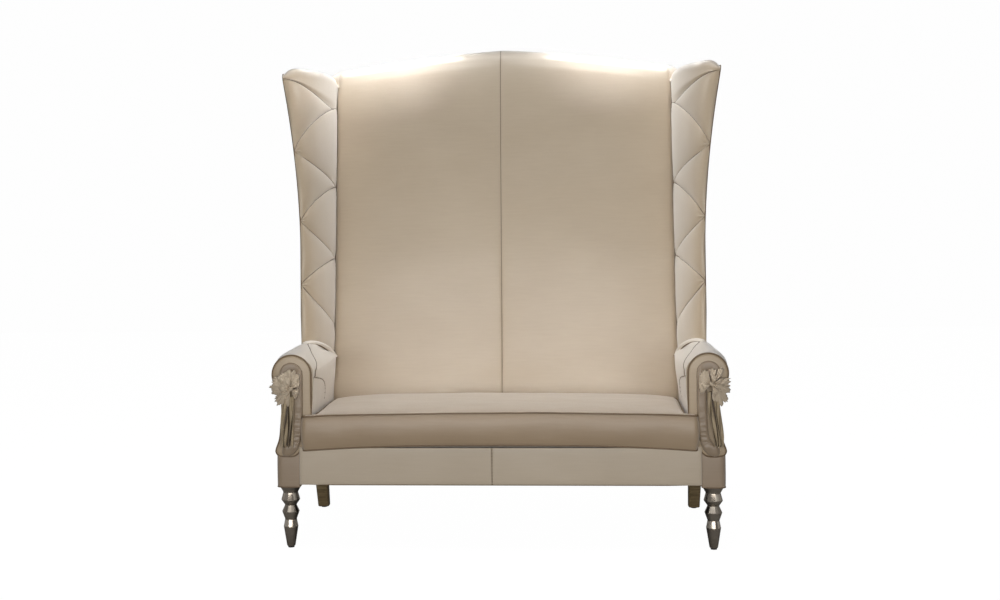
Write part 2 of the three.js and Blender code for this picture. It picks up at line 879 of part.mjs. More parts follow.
// An arm pad in front view: inner wall, roll, then back under the roll.
function armSection(share) {
  const inner = armInnerHalfWidth + armSplay * share;
  const wallOuter = armInnerHalfWidth + armWallThickness;
  const upper = scrollHeight - scrollRadius / 2;
  return [
    [inner, armPadBottom],
    [inner, upper],
    ...scrollArc(share, 14, null),
    [waistHalfWidth + touchGap, armUndersideHeight],
    [wallOuter, armUndersideHeight],
    [wallOuter, armPadBottom],
  ];
}

function armPad(side) {
  const steps = 5;
  const rings = [];
  for (let i = 0; i <= steps; i += 1) {
    const share = i / steps;
    const ring = armSection(share).map(([x, z]) => {
      const rear = backY(z) - touchGap * 2;
      return [side * x, lerp(stumpFrontY, rear, share), z];
    });
    rings.push(ring);
  }
  return loft(rings, frontView);
}

// The roll goes on behind the back's front face, outside the post.
function armRearEnd(side) {
  const inner = postOuterX(wingBase) + touchGap;
  const outline = [
    [inner, armUndersideHeight],
    ...scrollArc(1, 8, inner),
    [waistHalfWidth + touchGap, armUndersideHeight],
  ].map(([x, z]) => [side * x, z]);
  return rakedPlate(outline, 0, postRear);
}

// Under the roll the outside arm drops nearly straight, then flares out to the base.
function outsideArmLine(topHeight) {
  const flareShares = [
    [0.7, 0.02],
    [0.48, 0.07],
    [0, 1],
  ];
  const lower = flareShares.map(([heightShare, flareShare]) => [
    waistHalfWidth + baseFlare * flareShare,
    lerp(armPadBottom, armUndersideHeight, heightShare),
  ]);
  return [[waistHalfWidth, topHeight], ...lower];
}

function outsideArm(side) {
  const outer = outsideArmLine(armUndersideHeight - touchGap);
  const inner = outer.map(([x, z]) => [x - coverThickness, z]).reverse();
  const outline = [...outer, ...inner].map(([x, z]) => [side * x, z]);
  return plate(
    outline,
    () => stumpFrontY,
    (x, z) => backY(z) + postRear,
  );
}

function sideRailCover(side) {
  const inner = frameHalfWidth + touchGap;
  const outer = inner + cornerCoverThickness;
  const outline = [
    [side * inner, railBottom],
    [side * outer, railBottom],
    [side * outer, blockTop],
    [side * inner, blockTop],
  ];
  return plate(
    outline,
    () => frontBlockRearY + touchGap,
    (x, z) => backY(z) + postRear,
  );
}

function armFacing(side) {
  const outline = [
    [armInnerHalfWidth, cushionBottom],
    [cornerHalfWidth, cushionBottom],
    [cornerHalfWidth, blockTop + touchGap],
    ...outsideArmLine(armUndersideHeight).reverse(),
    ...scrollArc(0, 16, null).reverse(),
  ].map(([x, z]) => [side * x, z]);
  return uprightPlate(outline, frontY, frontY + facingThickness);
}

// A band of even width along a line of [x, z] points.
function bandOutline(line, width) {
  const left = [];
  const right = [];
  line.forEach((p, i) => {
    const before = line[Math.max(0, i - 1)];
    const after = line[Math.min(line.length - 1, i + 1)];
    const along = new THREE.Vector2(after[0] - before[0], after[1] - before[1]);
    along.normalize().multiplyScalar(width / 2);
    left.push([p[0] - along.y, p[1] + along.x]);
    right.push([p[0] + along.y, p[1] - along.x]);
  });
  return [...left, ...right.reverse()];
}

// The gathered strip hooks over the scroll, runs down the facing and ends in a tongue.
function armStrip(side) {
  const hookSteps = 8;
  const line = [];
  for (let i = 0; i <= hookSteps; i += 1) {
    const angle = (Math.PI * i) / hookSteps;
    line.push([
      scrollHalfWidth + stripHookRadius * Math.cos(angle),
      scrollHeight + stripHookRadius * Math.sin(angle),
    ]);
  }
  const top = scrollHalfWidth - stripHookRadius;
  line.push([top, tongueBottom + stripBendRise]);
  const driftShares = [0.12, 0.5, 0.88];
  driftShares.forEach((share, i) => {
    const down = (i + 1) / (driftShares.length + 1);
    line.push([top + tongueShift * share, tongueBottom + stripBendRise * (1 - down)]);
  });
  line.push([top + tongueShift, tongueBottom]);
  const outline = bandOutline(line, stripWidth).map(([x, z]) => [side * x, z]);
  return uprightPlate(outline, stripFrontY, frontY - touchGap);
}

// A rosette: rings of petals, widest behind and gathered at the middle.
function rosette(side) {
  const petals = 9;
  const stepsPerPetal = 4;
  const steps = petals * stepsPerPetal;
  const ringShares = [
    [0.8, 0],
    [1, 0.28],
    [0.72, 0.62],
    [0.44, 0.84],
    [0.16, 1],
  ];
  const notchShare = 0.16;
  const rearY = stripFrontY - touchGap;
  const centreZ = scrollHeight - rosetteDrop;
  const rings = ringShares.map(([radiusShare, depthShare], k) => {
    const ring = [];
    for (let i = 0; i < steps; i += 1) {
      const angle = (2 * Math.PI * i) / steps;
      const notch = (1 + Math.cos(petals * angle + k * Math.PI)) / 2;
      const wave = 1 - notchShare * notch;
      const radius = rosetteRadius * radiusShare * wave;
      ring.push([
        side * (rosetteX + radius * Math.cos(angle)),
        lerp(rearY, rosetteFrontY, depthShare),
        centreZ + radius * Math.sin(angle),
      ]);
    }
    return ring;
  });
  return loft(rings, frontView);
}

// Ribbon tails hang side by side from one band under the rosette.
function ribbonTails(side) {
  const tails = 5;
  const topHeight = scrollHeight - rosetteDrop - rosetteRadius - touchGap;
  const bandBottom = topHeight - tailBand;
  const outline = [];
  const dropShares = [0.94, 1, 0.97, 1, 0.93];
  const width = (tails - 1) * tailPitch + tailWidth;
  outline.push([rosetteX - width / 2, topHeight]);
  for (let i = 0; i < tails; i += 1) {
    const left = rosetteX - width / 2 + i * tailPitch;
    const tip = topHeight - tailLength * dropShares[i];
    if (i > 0) outline.push([left, bandBottom]);
    outline.push([left, tip + tailWidth / 3]);
    outline.push([left + tailWidth, tip]);
    if (i + 1 < tails) outline.push([left + tailWidth, bandBottom]);
  }
  outline.push([rosetteX + width / 2, topHeight]);
  const placed = outline.map(([x, z]) => [side * x, z]);
  const rear = stripFrontY - touchGap;
  return uprightPlate(placed, rear - tailThickness, rear);
}

function frontRailCover() {
  const half = cornerHalfWidth;
  const bandShares = [0.2, 0.8];
  const low = railBottom;
  const high = deckTop;
  const rear = railCoverFrontY + railCoverThickness;
  const ringAt = (x, front) => [
    [x, rear, low],
    [x, front + seamDepth, low],
    ...bandShares.map((share) => [x, front, lerp(low, high, share)]),
    [x, front + seamDepth, high],
    [x, rear, high],
  ];
  const rings = [
    ringAt(-half, railCoverFrontY + seamDepth),
    ringAt(-half + seamHalfWidth, railCoverFrontY),
    ringAt(-seamHalfWidth, railCoverFrontY),
    ringAt(0, railCoverFrontY + seamDepth),
    ringAt(seamHalfWidth, railCoverFrontY),
    ringAt(half - seamHalfWidth, railCoverFrontY),
    ringAt(half, railCoverFrontY + seamDepth),
  ];
  return loft(rings, sideView);
}

// A corner cover wraps the front and the outer side of a leg block.
function cornerCover(side) {
  const radius = cornerCoverRadius;
  const inner = cornerHalfWidth + touchGap * 2;
  const outer = baseHalfWidth;
  const front = cornerFrontY;
  const rear = frontBlockRearY;
  const wall = cornerCoverThickness;
  const arcSteps = 4;
  const outline = [[inner, front]];
  for (let i = 0; i <= arcSteps; i += 1) {
    const angle = (Math.PI / 2) * (i / arcSteps);
    outline.push([
      outer - radius * (1 - Math.sin(angle)),
      front + radius * (1 - Math.cos(angle)),
    ]);
  }
  outline.push([outer, rear]);
  outline.push([outer - wall, rear]);
  outline.push([outer - wall, front + wall]);
  outline.push([inner, front + wall]);
  const shape = flatShape(outline.map(([x, y]) => [side * x, y]));
  const geometry = new THREE.ExtrudeGeometry(shape, {
    depth: blockTop - blockBottom,
    bevelEnabled: false,
  });
  geometry.translate(0, 0, blockBottom);
  return geometry;
}

// The loose cushion in plan: a T whose short ears pass in front of the arms.
function cushionOutline() {
  const rearHalfWidth = cushionHalfWidth + armSplay;
  const earRear = frontY - earGap;
  const rear = backY(cushionTop) - cushionRearGap;
  const cornerRadius = cushionCornerRadius;
  const cut = cornerRadius * (1 - Math.SQRT1_2);
  const half = [[0, cushionFrontY]];
  const frontColumns = 6;
  for (let i = 1; i <= frontColumns; i += 1) {
    half.push([((earHalfWidth - cornerRadius) * i) / frontColumns, cushionFrontY]);
  }
  half.push([earHalfWidth - cut, cushionFrontY + cut]);
  half.push([earHalfWidth, cushionFrontY + cornerRadius]);
  half.push([earHalfWidth, earRear]);
  half.push([cushionHalfWidth, earRear]);
  const sideRows = 3;
  for (let i = 1; i <= sideRows; i += 1) {
    const share = i / sideRows;
    const x = lerp(cushionHalfWidth, rearHalfWidth, share);
    half.push([x, lerp(earRear, rear - cornerRadius, share)]);
  }
  half.push([rearHalfWidth - cornerRadius, rear]);
  for (let i = frontColumns - 1; i > 0; i -= 1) {
    half.push([((rearHalfWidth - cornerRadius) * i) / frontColumns, rear]);
  }
  half.push([0, rear]);
  const other = half.slice(1, -1).map(([x, y]) => [-x, y]);
  return [...half, ...other.reverse()];
}

// An outline moved inwards by an even distance.
function insetOutline(outline, distance) {
  return outline.map((p, i) => {
    const before = outline[(i + outline.length - 1) % outline.length];
    const after = outline[(i + 1) % outline.length];
    const along = new THREE.Vector2(p[0] - before[0], p[1] - before[1]).normalize();
    const onwards = new THREE.Vector2(after[0] - p[0], after[1] - p[1]).normalize();
    const normal = new THREE.Vector2(-along.y - onwards.y, along.x + onwards.x);
    const reach = distance / Math.max(0.5, 1 + along.dot(onwards));
    return [p[0] + normal.x * reach, p[1] + normal.y * reach];
  });
}

function seatCushion() {
  const outline = cushionOutline();
  const edge = cushionEdge;
  const waist = cushionWaist;
  const middleY = (cushionFrontY + backY(cushionTop)) / 2;
  const crownHalf = cushionHalfWidth - edge;
  const borderShares = [0, 0.07, 0.3, 0.5, 0.75, 0.96, 1];
  const insets = [edge, 0, waist * swell, waist, waist * swell, 0, edge / 2];
  const rings = borderShares.map((share, i) => {
    const z = cushionBottom + cushionThickness * share;
    return insetOutline(outline, insets[i]).map(([x, y]) => [x, y, z]);
  });
  const crownShares = [0.03, 0.12, 0.28, 0.52, 0.8];
  const flatShare = 0.6; // the crown is level from here to the middle
  for (const share of crownShares) {
    const slope = Math.min(1, share / flatShare);
    const z = cushionTop + cushionCrown * Math.sin((Math.PI / 2) * slope);
    const ring = insetOutline(outline, edge).map(([x, y]) => [
      THREE.MathUtils.clamp(x, -crownHalf, crownHalf) * (1 - share / 2),
      lerp(y, middleY, share),
      z,
    ]);
    rings.push(ring);
  }
  return loft(rings, planView);
}

function upholstery() {
  add("seat_webbing", seatWebbing(), webbingColor, 0.9);
  add("back_webbing", backWebbing(), webbingColor, 0.9);
  addCover("seat_deck", seatDeck());
  addCover("back_pad", backPad());
  addCover("outside_back", outsideBack());
  addCover("front_rail_cover", frontRailCover());
  add("dust_cover", dustCover(), darkColor, 0.9);
  addCover("seat_cushion", seatCushion(), cushionColor);
  for (const [name, side] of sides) {
    addWood(`${name}_wing_board`, wingLayer(side, boardOuterX, boardThickness));
    addCover(`${name}_outside_wing`, wingLayer(side, wingOuterX, coverThickness));
    addCover(`${name}_wing_pad`, wingPad(side));
    addCover(`${name}_arm_pad`, armPad(side));
    addCover(`${name}_arm_rear_end`, armRearEnd(side));
    addCover(`${name}_outside_arm`, outsideArm(side));
    addCover(`${name}_side_rail_cover`, sideRailCover(side));
    addCover(`${name}_arm_facing`, armFacing(side));
    addCover(`${name}_arm_strip`, armStrip(side));
    addCover(`${name}_rosette`, rosette(side));
    addCover(`${name}_ribbon_tails`, ribbonTails(side));
    addCover(`${name}_corner_cover`, cornerCover(side));
  }
}

legsAndGlides();
seatFrame();
backFrame();
armFrame();
upholstery();

export default settee;
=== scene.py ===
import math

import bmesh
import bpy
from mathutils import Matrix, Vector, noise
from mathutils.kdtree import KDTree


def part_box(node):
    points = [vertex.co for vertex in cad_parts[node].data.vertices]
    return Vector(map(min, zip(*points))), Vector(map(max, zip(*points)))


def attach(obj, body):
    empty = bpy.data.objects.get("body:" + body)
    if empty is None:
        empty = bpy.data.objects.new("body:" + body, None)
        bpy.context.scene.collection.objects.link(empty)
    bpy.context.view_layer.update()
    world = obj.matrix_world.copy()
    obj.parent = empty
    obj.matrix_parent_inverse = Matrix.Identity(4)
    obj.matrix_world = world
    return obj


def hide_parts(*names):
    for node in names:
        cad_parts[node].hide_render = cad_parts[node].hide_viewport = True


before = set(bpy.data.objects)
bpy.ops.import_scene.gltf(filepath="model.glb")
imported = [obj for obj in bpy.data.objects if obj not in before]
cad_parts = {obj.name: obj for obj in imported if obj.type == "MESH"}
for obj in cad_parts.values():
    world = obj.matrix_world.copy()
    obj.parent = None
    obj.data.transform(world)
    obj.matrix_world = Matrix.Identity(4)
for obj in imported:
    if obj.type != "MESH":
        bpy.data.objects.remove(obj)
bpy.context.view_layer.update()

# %% [markdown]
# # A high back settee, dressed in Blender
# The frame that was just loaded is the settee's own CAD model: legs, rails, posts,
# boards and a plain solid for each pad and cover. This lesson gives it its looks. Each
# soft solid is replaced by an upholstered piece of the same size, and each hard part
# that stays gets a real finish. Everything is in metres, in the CAD model's own frame:
# X runs to the right as seen from the front, -Y is the way the seat faces and Z is up.

MM = 0.001
SIDES = (("left", -1), ("right", 1))
FIXED, LOOSE = "settee_frame", "loose_cushion"

DECK_TOP = 352.4 * MM
ARM_INNER = 638 * MM  # half the width between the arms at their fronts
ARM_SPLAY = 20 * MM  # extra half width at the back
WAIST = ARM_INNER + 100 * MM  # half width under the arm rolls
BASE = WAIST + 22 * MM  # half width at the floor end of the arms
CORNER = ARM_INNER + 41 * MM  # where the front rail meets the corner covers
BACK_HALF = ARM_INNER + ARM_SPLAY + 1.5 * MM
WING_INNER = BACK_HALF + 1 * MM
FRONT = -428 * MM  # the plane of the arm fronts
BLOCK_BOTTOM, BLOCK_TOP = 214.3 * MM, 335.3 * MM
RAIL_BOTTOM = 224.3 * MM
SCROLL_Z, SCROLL_R, SCROLL_REAR_R = 598.4 * MM, 66 * MM, 58 * MM
SCROLL_X = ARM_INNER + SCROLL_R
ROLL_SWELL = 10 * MM
ARM_UNDER = SCROLL_Z - 41 * MM
WING_BASE = SCROLL_Z + SCROLL_R + ROLL_SWELL / 2 + 0.6 * MM
SHOULDER = DECK_TOP + 1377 * MM
CAMEL_RISE = 73 * MM
CAP = 40 * MM
BOARD_TOP = SHOULDER - CAP - 4 * MM
WING_TOP = BOARD_TOP + 16 * MM
BACK_THICK = 114.5 * MM
PAD_DEPTH = 61.7 * MM  # from the back's face to the boards and the webbing behind it
WING_BOARD = 28.6 * MM
RAKE = 0.14  # how far the back leans away for each unit of height
FACE_Y, FACE_HIGH = 177 * MM, 170 * MM  # a place on the back's face, over the deck
POST_REAR = 108.5 * MM
LEG_X, LEG_Y = 720.7 * MM, -381.7 * MM


def lerp(a, b, share):
    return a + (b - a) * share


def ease(share):
    """A soft step from 0 to 1."""
    share = min(1.0, max(0.0, share))
    return share * share * (3 - 2 * share)


def swell(share, power=0.6):
    """Padding between two seams: nothing at 0 and 1, full in the middle."""
    return max(0.0, math.sin(math.pi * share)) ** power


def bunched(count):
    """Shares from 0 to 1 that lie closer together at both ends."""
    return [0.5 - 0.5 * math.cos(math.pi * i / count) for i in range(count + 1)]


def mirrored(points, side):
    return [Vector((side * p.x, p.y, p.z)) for p in points]


def back_y(z):
    """The front face of the raked back at one height."""
    return FACE_Y + (z - DECK_TOP - FACE_HIGH) * RAKE


def camel_z(x):
    """The camel curve of the back's top edge."""
    share = min(1.0, abs(x) / BACK_HALF)
    return SHOULDER + CAMEL_RISE * (1 - share**1.35)


def wing_share(z):
    return (z - WING_BASE) / (WING_TOP - WING_BASE)


def wing_outer_x(z):
    """A wing's outer edge stands straight at first and then flares."""
    bend = max(0.0, (wing_share(z) - 0.33) / 0.67)
    return WAIST + 3 * MM + 75 * MM * bend**1.8


def wing_front_y(z):
    return lerp(-48 * MM, -3 * MM, max(0.0, wing_share(z)))


# %% [markdown]
# ## The camera and the studio
# The photograph was taken from a little right of the middle, at a standing person's
# chest height, with a slightly long lens held level. Its upright lines stay upright,
# so the camera looks level and the picture is shifted down instead of tilting the
# camera. The studio is plain: a pale floor, a wide low soft box in front, one overhead
# that makes everything that faces up shine, and narrow ones in pairs: over the back's
# shoulders, on its face just under them, on the wings' tops, on the foot of the back
# and into the arms' hollows. The two sides differ a little, as in the photograph.

# %% Camera
# The lens, place, turn and shift were fitted to the photograph by least squares.
camera_data = bpy.data.cameras.new("camera")
camera_data.sensor_width = 36
camera_data.lens = 48.21
camera_data.shift_x = 0.0423
camera_data.shift_y = -0.0757
camera_data.clip_end = 60
camera = bpy.data.objects.new("camera", camera_data)
camera.location = (0.2036, -4.9475, 1.1058)
camera.rotation_euler = (math.radians(90), 0.0123, 0.0733)
bpy.context.scene.collection.objects.link(camera)
bpy.context.scene.camera = camera
bpy.context.scene.view_settings.view_transform = "Standard"
print("camera at", tuple(round(n, 3) for n in camera.location))


# %% Lamps
def soft_box(name, place, aim, width, height, power, spread=180):
    lamp = bpy.data.lights.new(name, "AREA")
    lamp.shape = "RECTANGLE"
    lamp.size = width
    lamp.size_y = height
    lamp.energy = power
    lamp.spread = math.radians(spread)
    item = bpy.data.objects.new(name, lamp)
    item.location = place
    look = Vector(aim) - Vector(place)
    item.rotation_euler = look.to_track_quat("-Z", "Y").to_euler()
    bpy.context.scene.collection.objects.link(item)


soft_box("front_fill", (0, -6.0, 0.9), (0, 0, 0.9), 6.0, 1.4, 144)
soft_box("overhead", (0, -0.8, 5.5), (0, -0.1, 0.5), 3.0, 2.0, 90)
for name, side, corner, arm, high in (("left", -1, 0.26, 0.6, 0.09),
                                      ("right", 1, 0.08, 1.0, 0.05)):
    soft_box(f"{name}_shoulder", (side * 0.46, 0.42, 2.05), (side * 0.46, 0.36, 1.75),
             0.52, 0.12, 1.3, spread=100)
    soft_box(f"{name}_high_back", (side * 0.46, -1.4, 3.0), (side * 0.42, 0.3, 1.8),
             0.15, 0.1, high, spread=12)
    soft_box(f"{name}_corner", (-side * 0.6, -0.8, 2.5), (side * 0.7, 0.12, 1.68),
             0.3, 0.3, corner, spread=20)
    soft_box(f"{name}_low_back", (side * 0.4, -2.6, 1.6), (side * 0.33, 0.12, 0.56),
             0.6, 0.3, 0.2, spread=24)
    soft_box(f"{name}_arm", (-side * 1.6, -1.0, 2.2), (side * 0.66, -0.1, 0.75),
             0.6, 0.8, arm, spread=40)

# %% [markdown]
# ## Floor and world
# The picture's background is plain white. That white comes from the floor's and the
# world's own colour as the camera sees them, not from more light on the settee: the
# Light Path node tells camera rays from the rays that light the object.


# %% Node helpers, floor and world
def add_node(tree, kind, **settings):
    item = tree.nodes.new(kind)
    for key, value in settings.items():
        setattr(item, key, value)
    return item


def put(tree, socket, value):
    """Feeds a socket from another socket, or sets it."""
    if isinstance(value, bpy.types.NodeSocket):
        tree.links.new(value, socket)
    else:
        socket.default_value = value


def maths(tree, operation, a, b=0.0, c=None):
    item = add_node(tree, "ShaderNodeMath", operation=operation)
    put(tree, item.inputs[0], a)
    put(tree, item.inputs[1], b)
    if c is not None:
        put(tree, item.inputs[2], c)
    return item.outputs[0]


world = bpy.data.worlds.new("studio")
world.use_nodes = True
bpy.context.scene.world = world
tree = world.node_tree
light_path = add_node(tree, "ShaderNodeLightPath")
seen = maths(tree, "MULTIPLY", light_path.outputs["Is Camera Ray"], 0.99)
shine = maths(tree, "MAXIMUM", light_path.outputs["Is Glossy Ray"],
              light_path.outputs["Is Transmission Ray"])
strength = maths(tree, "MAXIMUM", seen, maths(tree, "MULTIPLY", shine, 0.3))
strength = maths(tree, "MAXIMUM", strength, 0.06)
put(tree, tree.nodes["Background"].inputs["Color"], (1, 1, 1, 1))
put(tree, tree.nodes["Background"].inputs["Strength"], strength)

floor_mesh = bmesh.new()
bmesh.ops.create_grid(floor_mesh, x_segments=8, y_segments=8, size=9)
floor_data = bpy.data.meshes.new("floor")
floor_mesh.to_mesh(floor_data)
floor_mesh.free()
floor = bpy.data.objects.new("floor", floor_data)
bpy.context.scene.collection.objects.link(floor)

floor_finish = bpy.data.materials.new("pale_floor")
floor_finish.use_nodes = True
tree = floor_finish.node_tree
tree.nodes.remove(tree.nodes["Principled BSDF"])
matt = add_node(tree, "ShaderNodeBsdfDiffuse")
matt.inputs["Color"].default_value = (0.5, 0.495, 0.485, 1)
glow = add_node(tree, "ShaderNodeEmission")
glow.inputs["Color"].default_value = (1, 1, 1, 1)
glow.inputs["Strength"].default_value = 1.1
blend = add_node(tree, "ShaderNodeMixShader")
light_path = add_node(tree, "ShaderNodeLightPath")
direct = maths(tree, "MAXIMUM", light_path.outputs["Is Camera Ray"],
               light_path.outputs["Is Transmission Ray"])
put(tree, blend.inputs[0], maths(tree, "MULTIPLY", direct, 0.9))
put(tree, blend.inputs[1], matt.outputs[0])
put(tree, blend.inputs[2], glow.outputs[0])
put(tree, tree.nodes["Material Output"].inputs["Surface"], blend.outputs[0])
floor_data.materials.append(floor_finish)

# %% [markdown]
# ## Finishes
# The settee is covered in an ivory leather with a satin shine. Part of that shine is
# painted sheen: the leather's colour turns towards white where a surface is seen at a
# low angle. Close to, its surface is drawn out sideways in fine slubs, with small pores
# between them, and its tone drifts a little over each hide. The effects that finishes
# share are node groups that give out only masks and heights: the leather's grain, the
# darker line along a seam, which is partly painted shade in the seam's groove, the grain
# of wood, a weave and the marks on metal. The seam mark follows each seam through a
# "seam" value that the modelling cells write on the points of a mesh, because a pattern
# in plain coordinates couldn't follow it.


# %% A group that other finishes can place
def new_group(name, inputs, outputs):
    group = bpy.data.node_groups.new(name, "ShaderNodeTree")
    for label, value in inputs.items():
        socket = group.interface.new_socket(
            label, in_out="INPUT", socket_type="NodeSocketFloat")
        socket.default_value = value
    for label in outputs:
        group.interface.new_socket(
            label, in_out="OUTPUT", socket_type="NodeSocketFloat")
    start = group.nodes.new("NodeGroupInput")
    end = group.nodes.new("NodeGroupOutput")
    return group, start.outputs, end.inputs


def stretched(tree, x, y, z):
    """Object coordinates, stretched along each axis."""
    coords = add_node(tree, "ShaderNodeTexCoord")
    mapping = add_node(tree, "ShaderNodeMapping")
    tree.links.new(coords.outputs["Object"], mapping.inputs["Vector"])
    mapping.inputs["Scale"].default_value = (x, y, z)
    return mapping.outputs[0]


def noise_at(tree, vector, scale, detail=3.0, rough=0.5):
    item = add_node(tree, "ShaderNodeTexNoise")
    put(tree, item.inputs["Vector"], vector)
    put(tree, item.inputs["Scale"], scale)
    item.inputs["Detail"].default_value = detail
    item.inputs["Roughness"].default_value = rough
    return item.outputs["Fac"]


def spread(tree, value, low, high, to_low=0.0, to_high=1.0):
    """A value's range from low to high, spread out to a new range."""
    item = add_node(tree, "ShaderNodeMapRange")
    put(tree, item.inputs["Value"], value)
    for label, number in zip(("From Min", "From Max", "To Min", "To Max"),
                             (low, high, to_low, to_high)):
        item.inputs[label].default_value = number
    return item.outputs[0]


# %% Leather grain
leather_grain, given, result = new_group(
    "leather grain", {"Slub Scale": 1.0, "Pore Scale": 620.0}, ("Height", "Tone", "Drift"))
tree = leather_grain
slubs = noise_at(tree, stretched(tree, 10, 170, 170), given["Slub Scale"], 4.0, 0.62)
threads = noise_at(tree, stretched(tree, 26, 520, 520), given["Slub Scale"], 2.0)
pores = add_node(tree, "ShaderNodeTexVoronoi", feature="DISTANCE_TO_EDGE")
put(tree, pores.inputs["Vector"], stretched(tree, 1, 1, 1))
put(tree, pores.inputs["Scale"], given["Pore Scale"])
pore_height = spread(tree, pores.outputs["Distance"], 0.0, 0.25)
height = maths(tree, "MULTIPLY_ADD", slubs, 0.6, maths(tree, "MULTIPLY", threads, 0.25))
height = maths(tree, "MULTIPLY_ADD", pore_height, 0.15, height)
put(tree, result["Height"], height)
put(tree, result["Tone"], spread(tree, slubs, 0.3, 0.7))
drift = noise_at(tree, stretched(tree, 1, 1, 1.4), 2.6, 3.0)
put(tree, result["Drift"], spread(tree, drift, 0.3, 0.7))

# %% Seam tone and painted shade
seam_tone_and_shade, given, result = new_group("seam tone and shade", {"Stitch Pitch": 260.0}, ("Line", "Stitch"))
tree = seam_tone_and_shade
mark = add_node(tree, "ShaderNodeAttribute", attribute_name="seam")
# Line darkens the cover near a seam: partly the seam's own darker line, partly painted shade
# in its groove.
put(tree, result["Line"], spread(tree, mark.outputs["Fac"], 0.15, 0.95))
stitches = add_node(tree, "ShaderNodeTexVoronoi")
put(tree, stitches.inputs["Vector"], stretched(tree, 1, 1, 1))
put(tree, stitches.inputs["Scale"], given["Stitch Pitch"])
near = spread(tree, mark.outputs["Fac"], 0.55, 0.8)
put(tree, result["Stitch"], maths(tree, "MULTIPLY", near, stitches.outputs["Distance"]))

# %% Wood grain
wood_grain, given, result = new_group(
    "wood grain", {"Scale": 1.0}, ("Rings", "Pores", "Height"))
tree = wood_grain
wander = noise_at(tree, stretched(tree, 1.2, 7, 7), 3.0, 3.0)
bands = add_node(tree, "ShaderNodeTexWave", wave_type="BANDS", bands_direction="DIAGONAL")
put(tree, bands.inputs["Vector"], stretched(tree, 1.5, 22, 22))
put(tree, bands.inputs["Scale"], given["Scale"])
bands.inputs["Distortion"].default_value = 5
bands.inputs["Detail"].default_value = 3
rings = maths(tree, "MULTIPLY_ADD", bands.outputs["Fac"], 0.6,
              maths(tree, "MULTIPLY", wander, 0.4))
fibres = noise_at(tree, stretched(tree, 12, 420, 420), 1.0, 4.0, 0.7)
put(tree, result["Rings"], rings)
put(tree, result["Pores"], spread(tree, fibres, 0.42, 0.6))
put(tree, result["Height"], maths(tree, "MULTIPLY_ADD", rings, 0.4, fibres))

# %% Weave and metal marks
weave, given, result = new_group("weave", {"Threads": 900.0}, ("Height", "Tone"))
tree = weave
waves = []
for direction in ("X", "Y"):
    item = add_node(tree, "ShaderNodeTexWave", wave_type="BANDS",
                    bands_direction=direction)
    put(tree, item.inputs["Vector"], stretched(tree, 1, 1, 1))
    put(tree, item.inputs["Scale"], given["Threads"])
    item.inputs["Distortion"].default_value = 0.6
    waves.append(item.outputs["Fac"])
put(tree, result["Height"], maths(tree, "MAXIMUM", waves[0], waves[1]))
fluff = noise_at(tree, stretched(tree, 1, 1, 1), 140.0, 4.0, 0.7)
put(tree, result["Tone"], fluff)

metal_marks, given, result = new_group("metal marks", {"Scale": 1.0}, ("Scratch", "Cloud"))
tree = metal_marks
scratches = noise_at(tree, stretched(tree, 900, 900, 60), given["Scale"], 4.0, 0.7)
put(tree, result["Scratch"], spread(tree, scratches, 0.35, 0.65))
put(tree, result["Cloud"], noise_at(tree, stretched(tree, 1, 1, 1), 34.0, 4.0, 0.6))
print("groups:", [g.name for g in bpy.data.node_groups])


# %% Mixing colours and building a finish
def new_finish(name):
    material = bpy.data.materials.new(name)
    material.use_nodes = True
    return material, material.node_tree, material.node_tree.nodes["Principled BSDF"]


def place_group(tree, group, **values):
    item = add_node(tree, "ShaderNodeGroup", node_tree=group)
    for label, value in values.items():
        put(tree, item.inputs[label.replace("_", " ")], value)
    return item.outputs


def mix_color(tree, share, a, b):
    item = add_node(tree, "ShaderNodeMix", data_type="RGBA")
    put(tree, item.inputs[0], share)
    put(tree, item.inputs[6], a)
    put(tree, item.inputs[7], b)
    return item.outputs[2]


def bump(tree, shader, height, depth, strength=1.0):
    item = add_node(tree, "ShaderNodeBump")
    item.inputs["Strength"].default_value = strength
    item.inputs["Distance"].default_value = depth
    put(tree, item.inputs["Height"], height)
    put(tree, shader.inputs["Normal"], item.outputs[0])


def rgb(red, green, blue):
    """A colour written as it shows, from 0 to 255, in the linear values of a shader."""
    def linear(n):
        n /= 255
        return n / 12.92 if n <= 0.04045 else ((n + 0.055) / 1.055) ** 2.4
    return (linear(red), linear(green), linear(blue), 1)


# The first colour is the white of the painted sheen; the second darkens the seams, partly as
# their own line and partly as painted shade in the groove.
PAINTED_SHEEN_WHITE, SEAM_TONE_AND_SHADE = rgb(242, 238, 232), rgb(112, 92, 70)


def painted_sheen_share(tree, most):
    """Painted sheen: a share that mixes the colour towards white where the surface is seen at
    a low angle.
    """
    look = add_node(tree, "ShaderNodeLayerWeight")
    look.inputs["Blend"].default_value = 0.5
    return maths(tree, "MULTIPLY", maths(tree, "POWER", look.outputs["Facing"], 1.3), most)


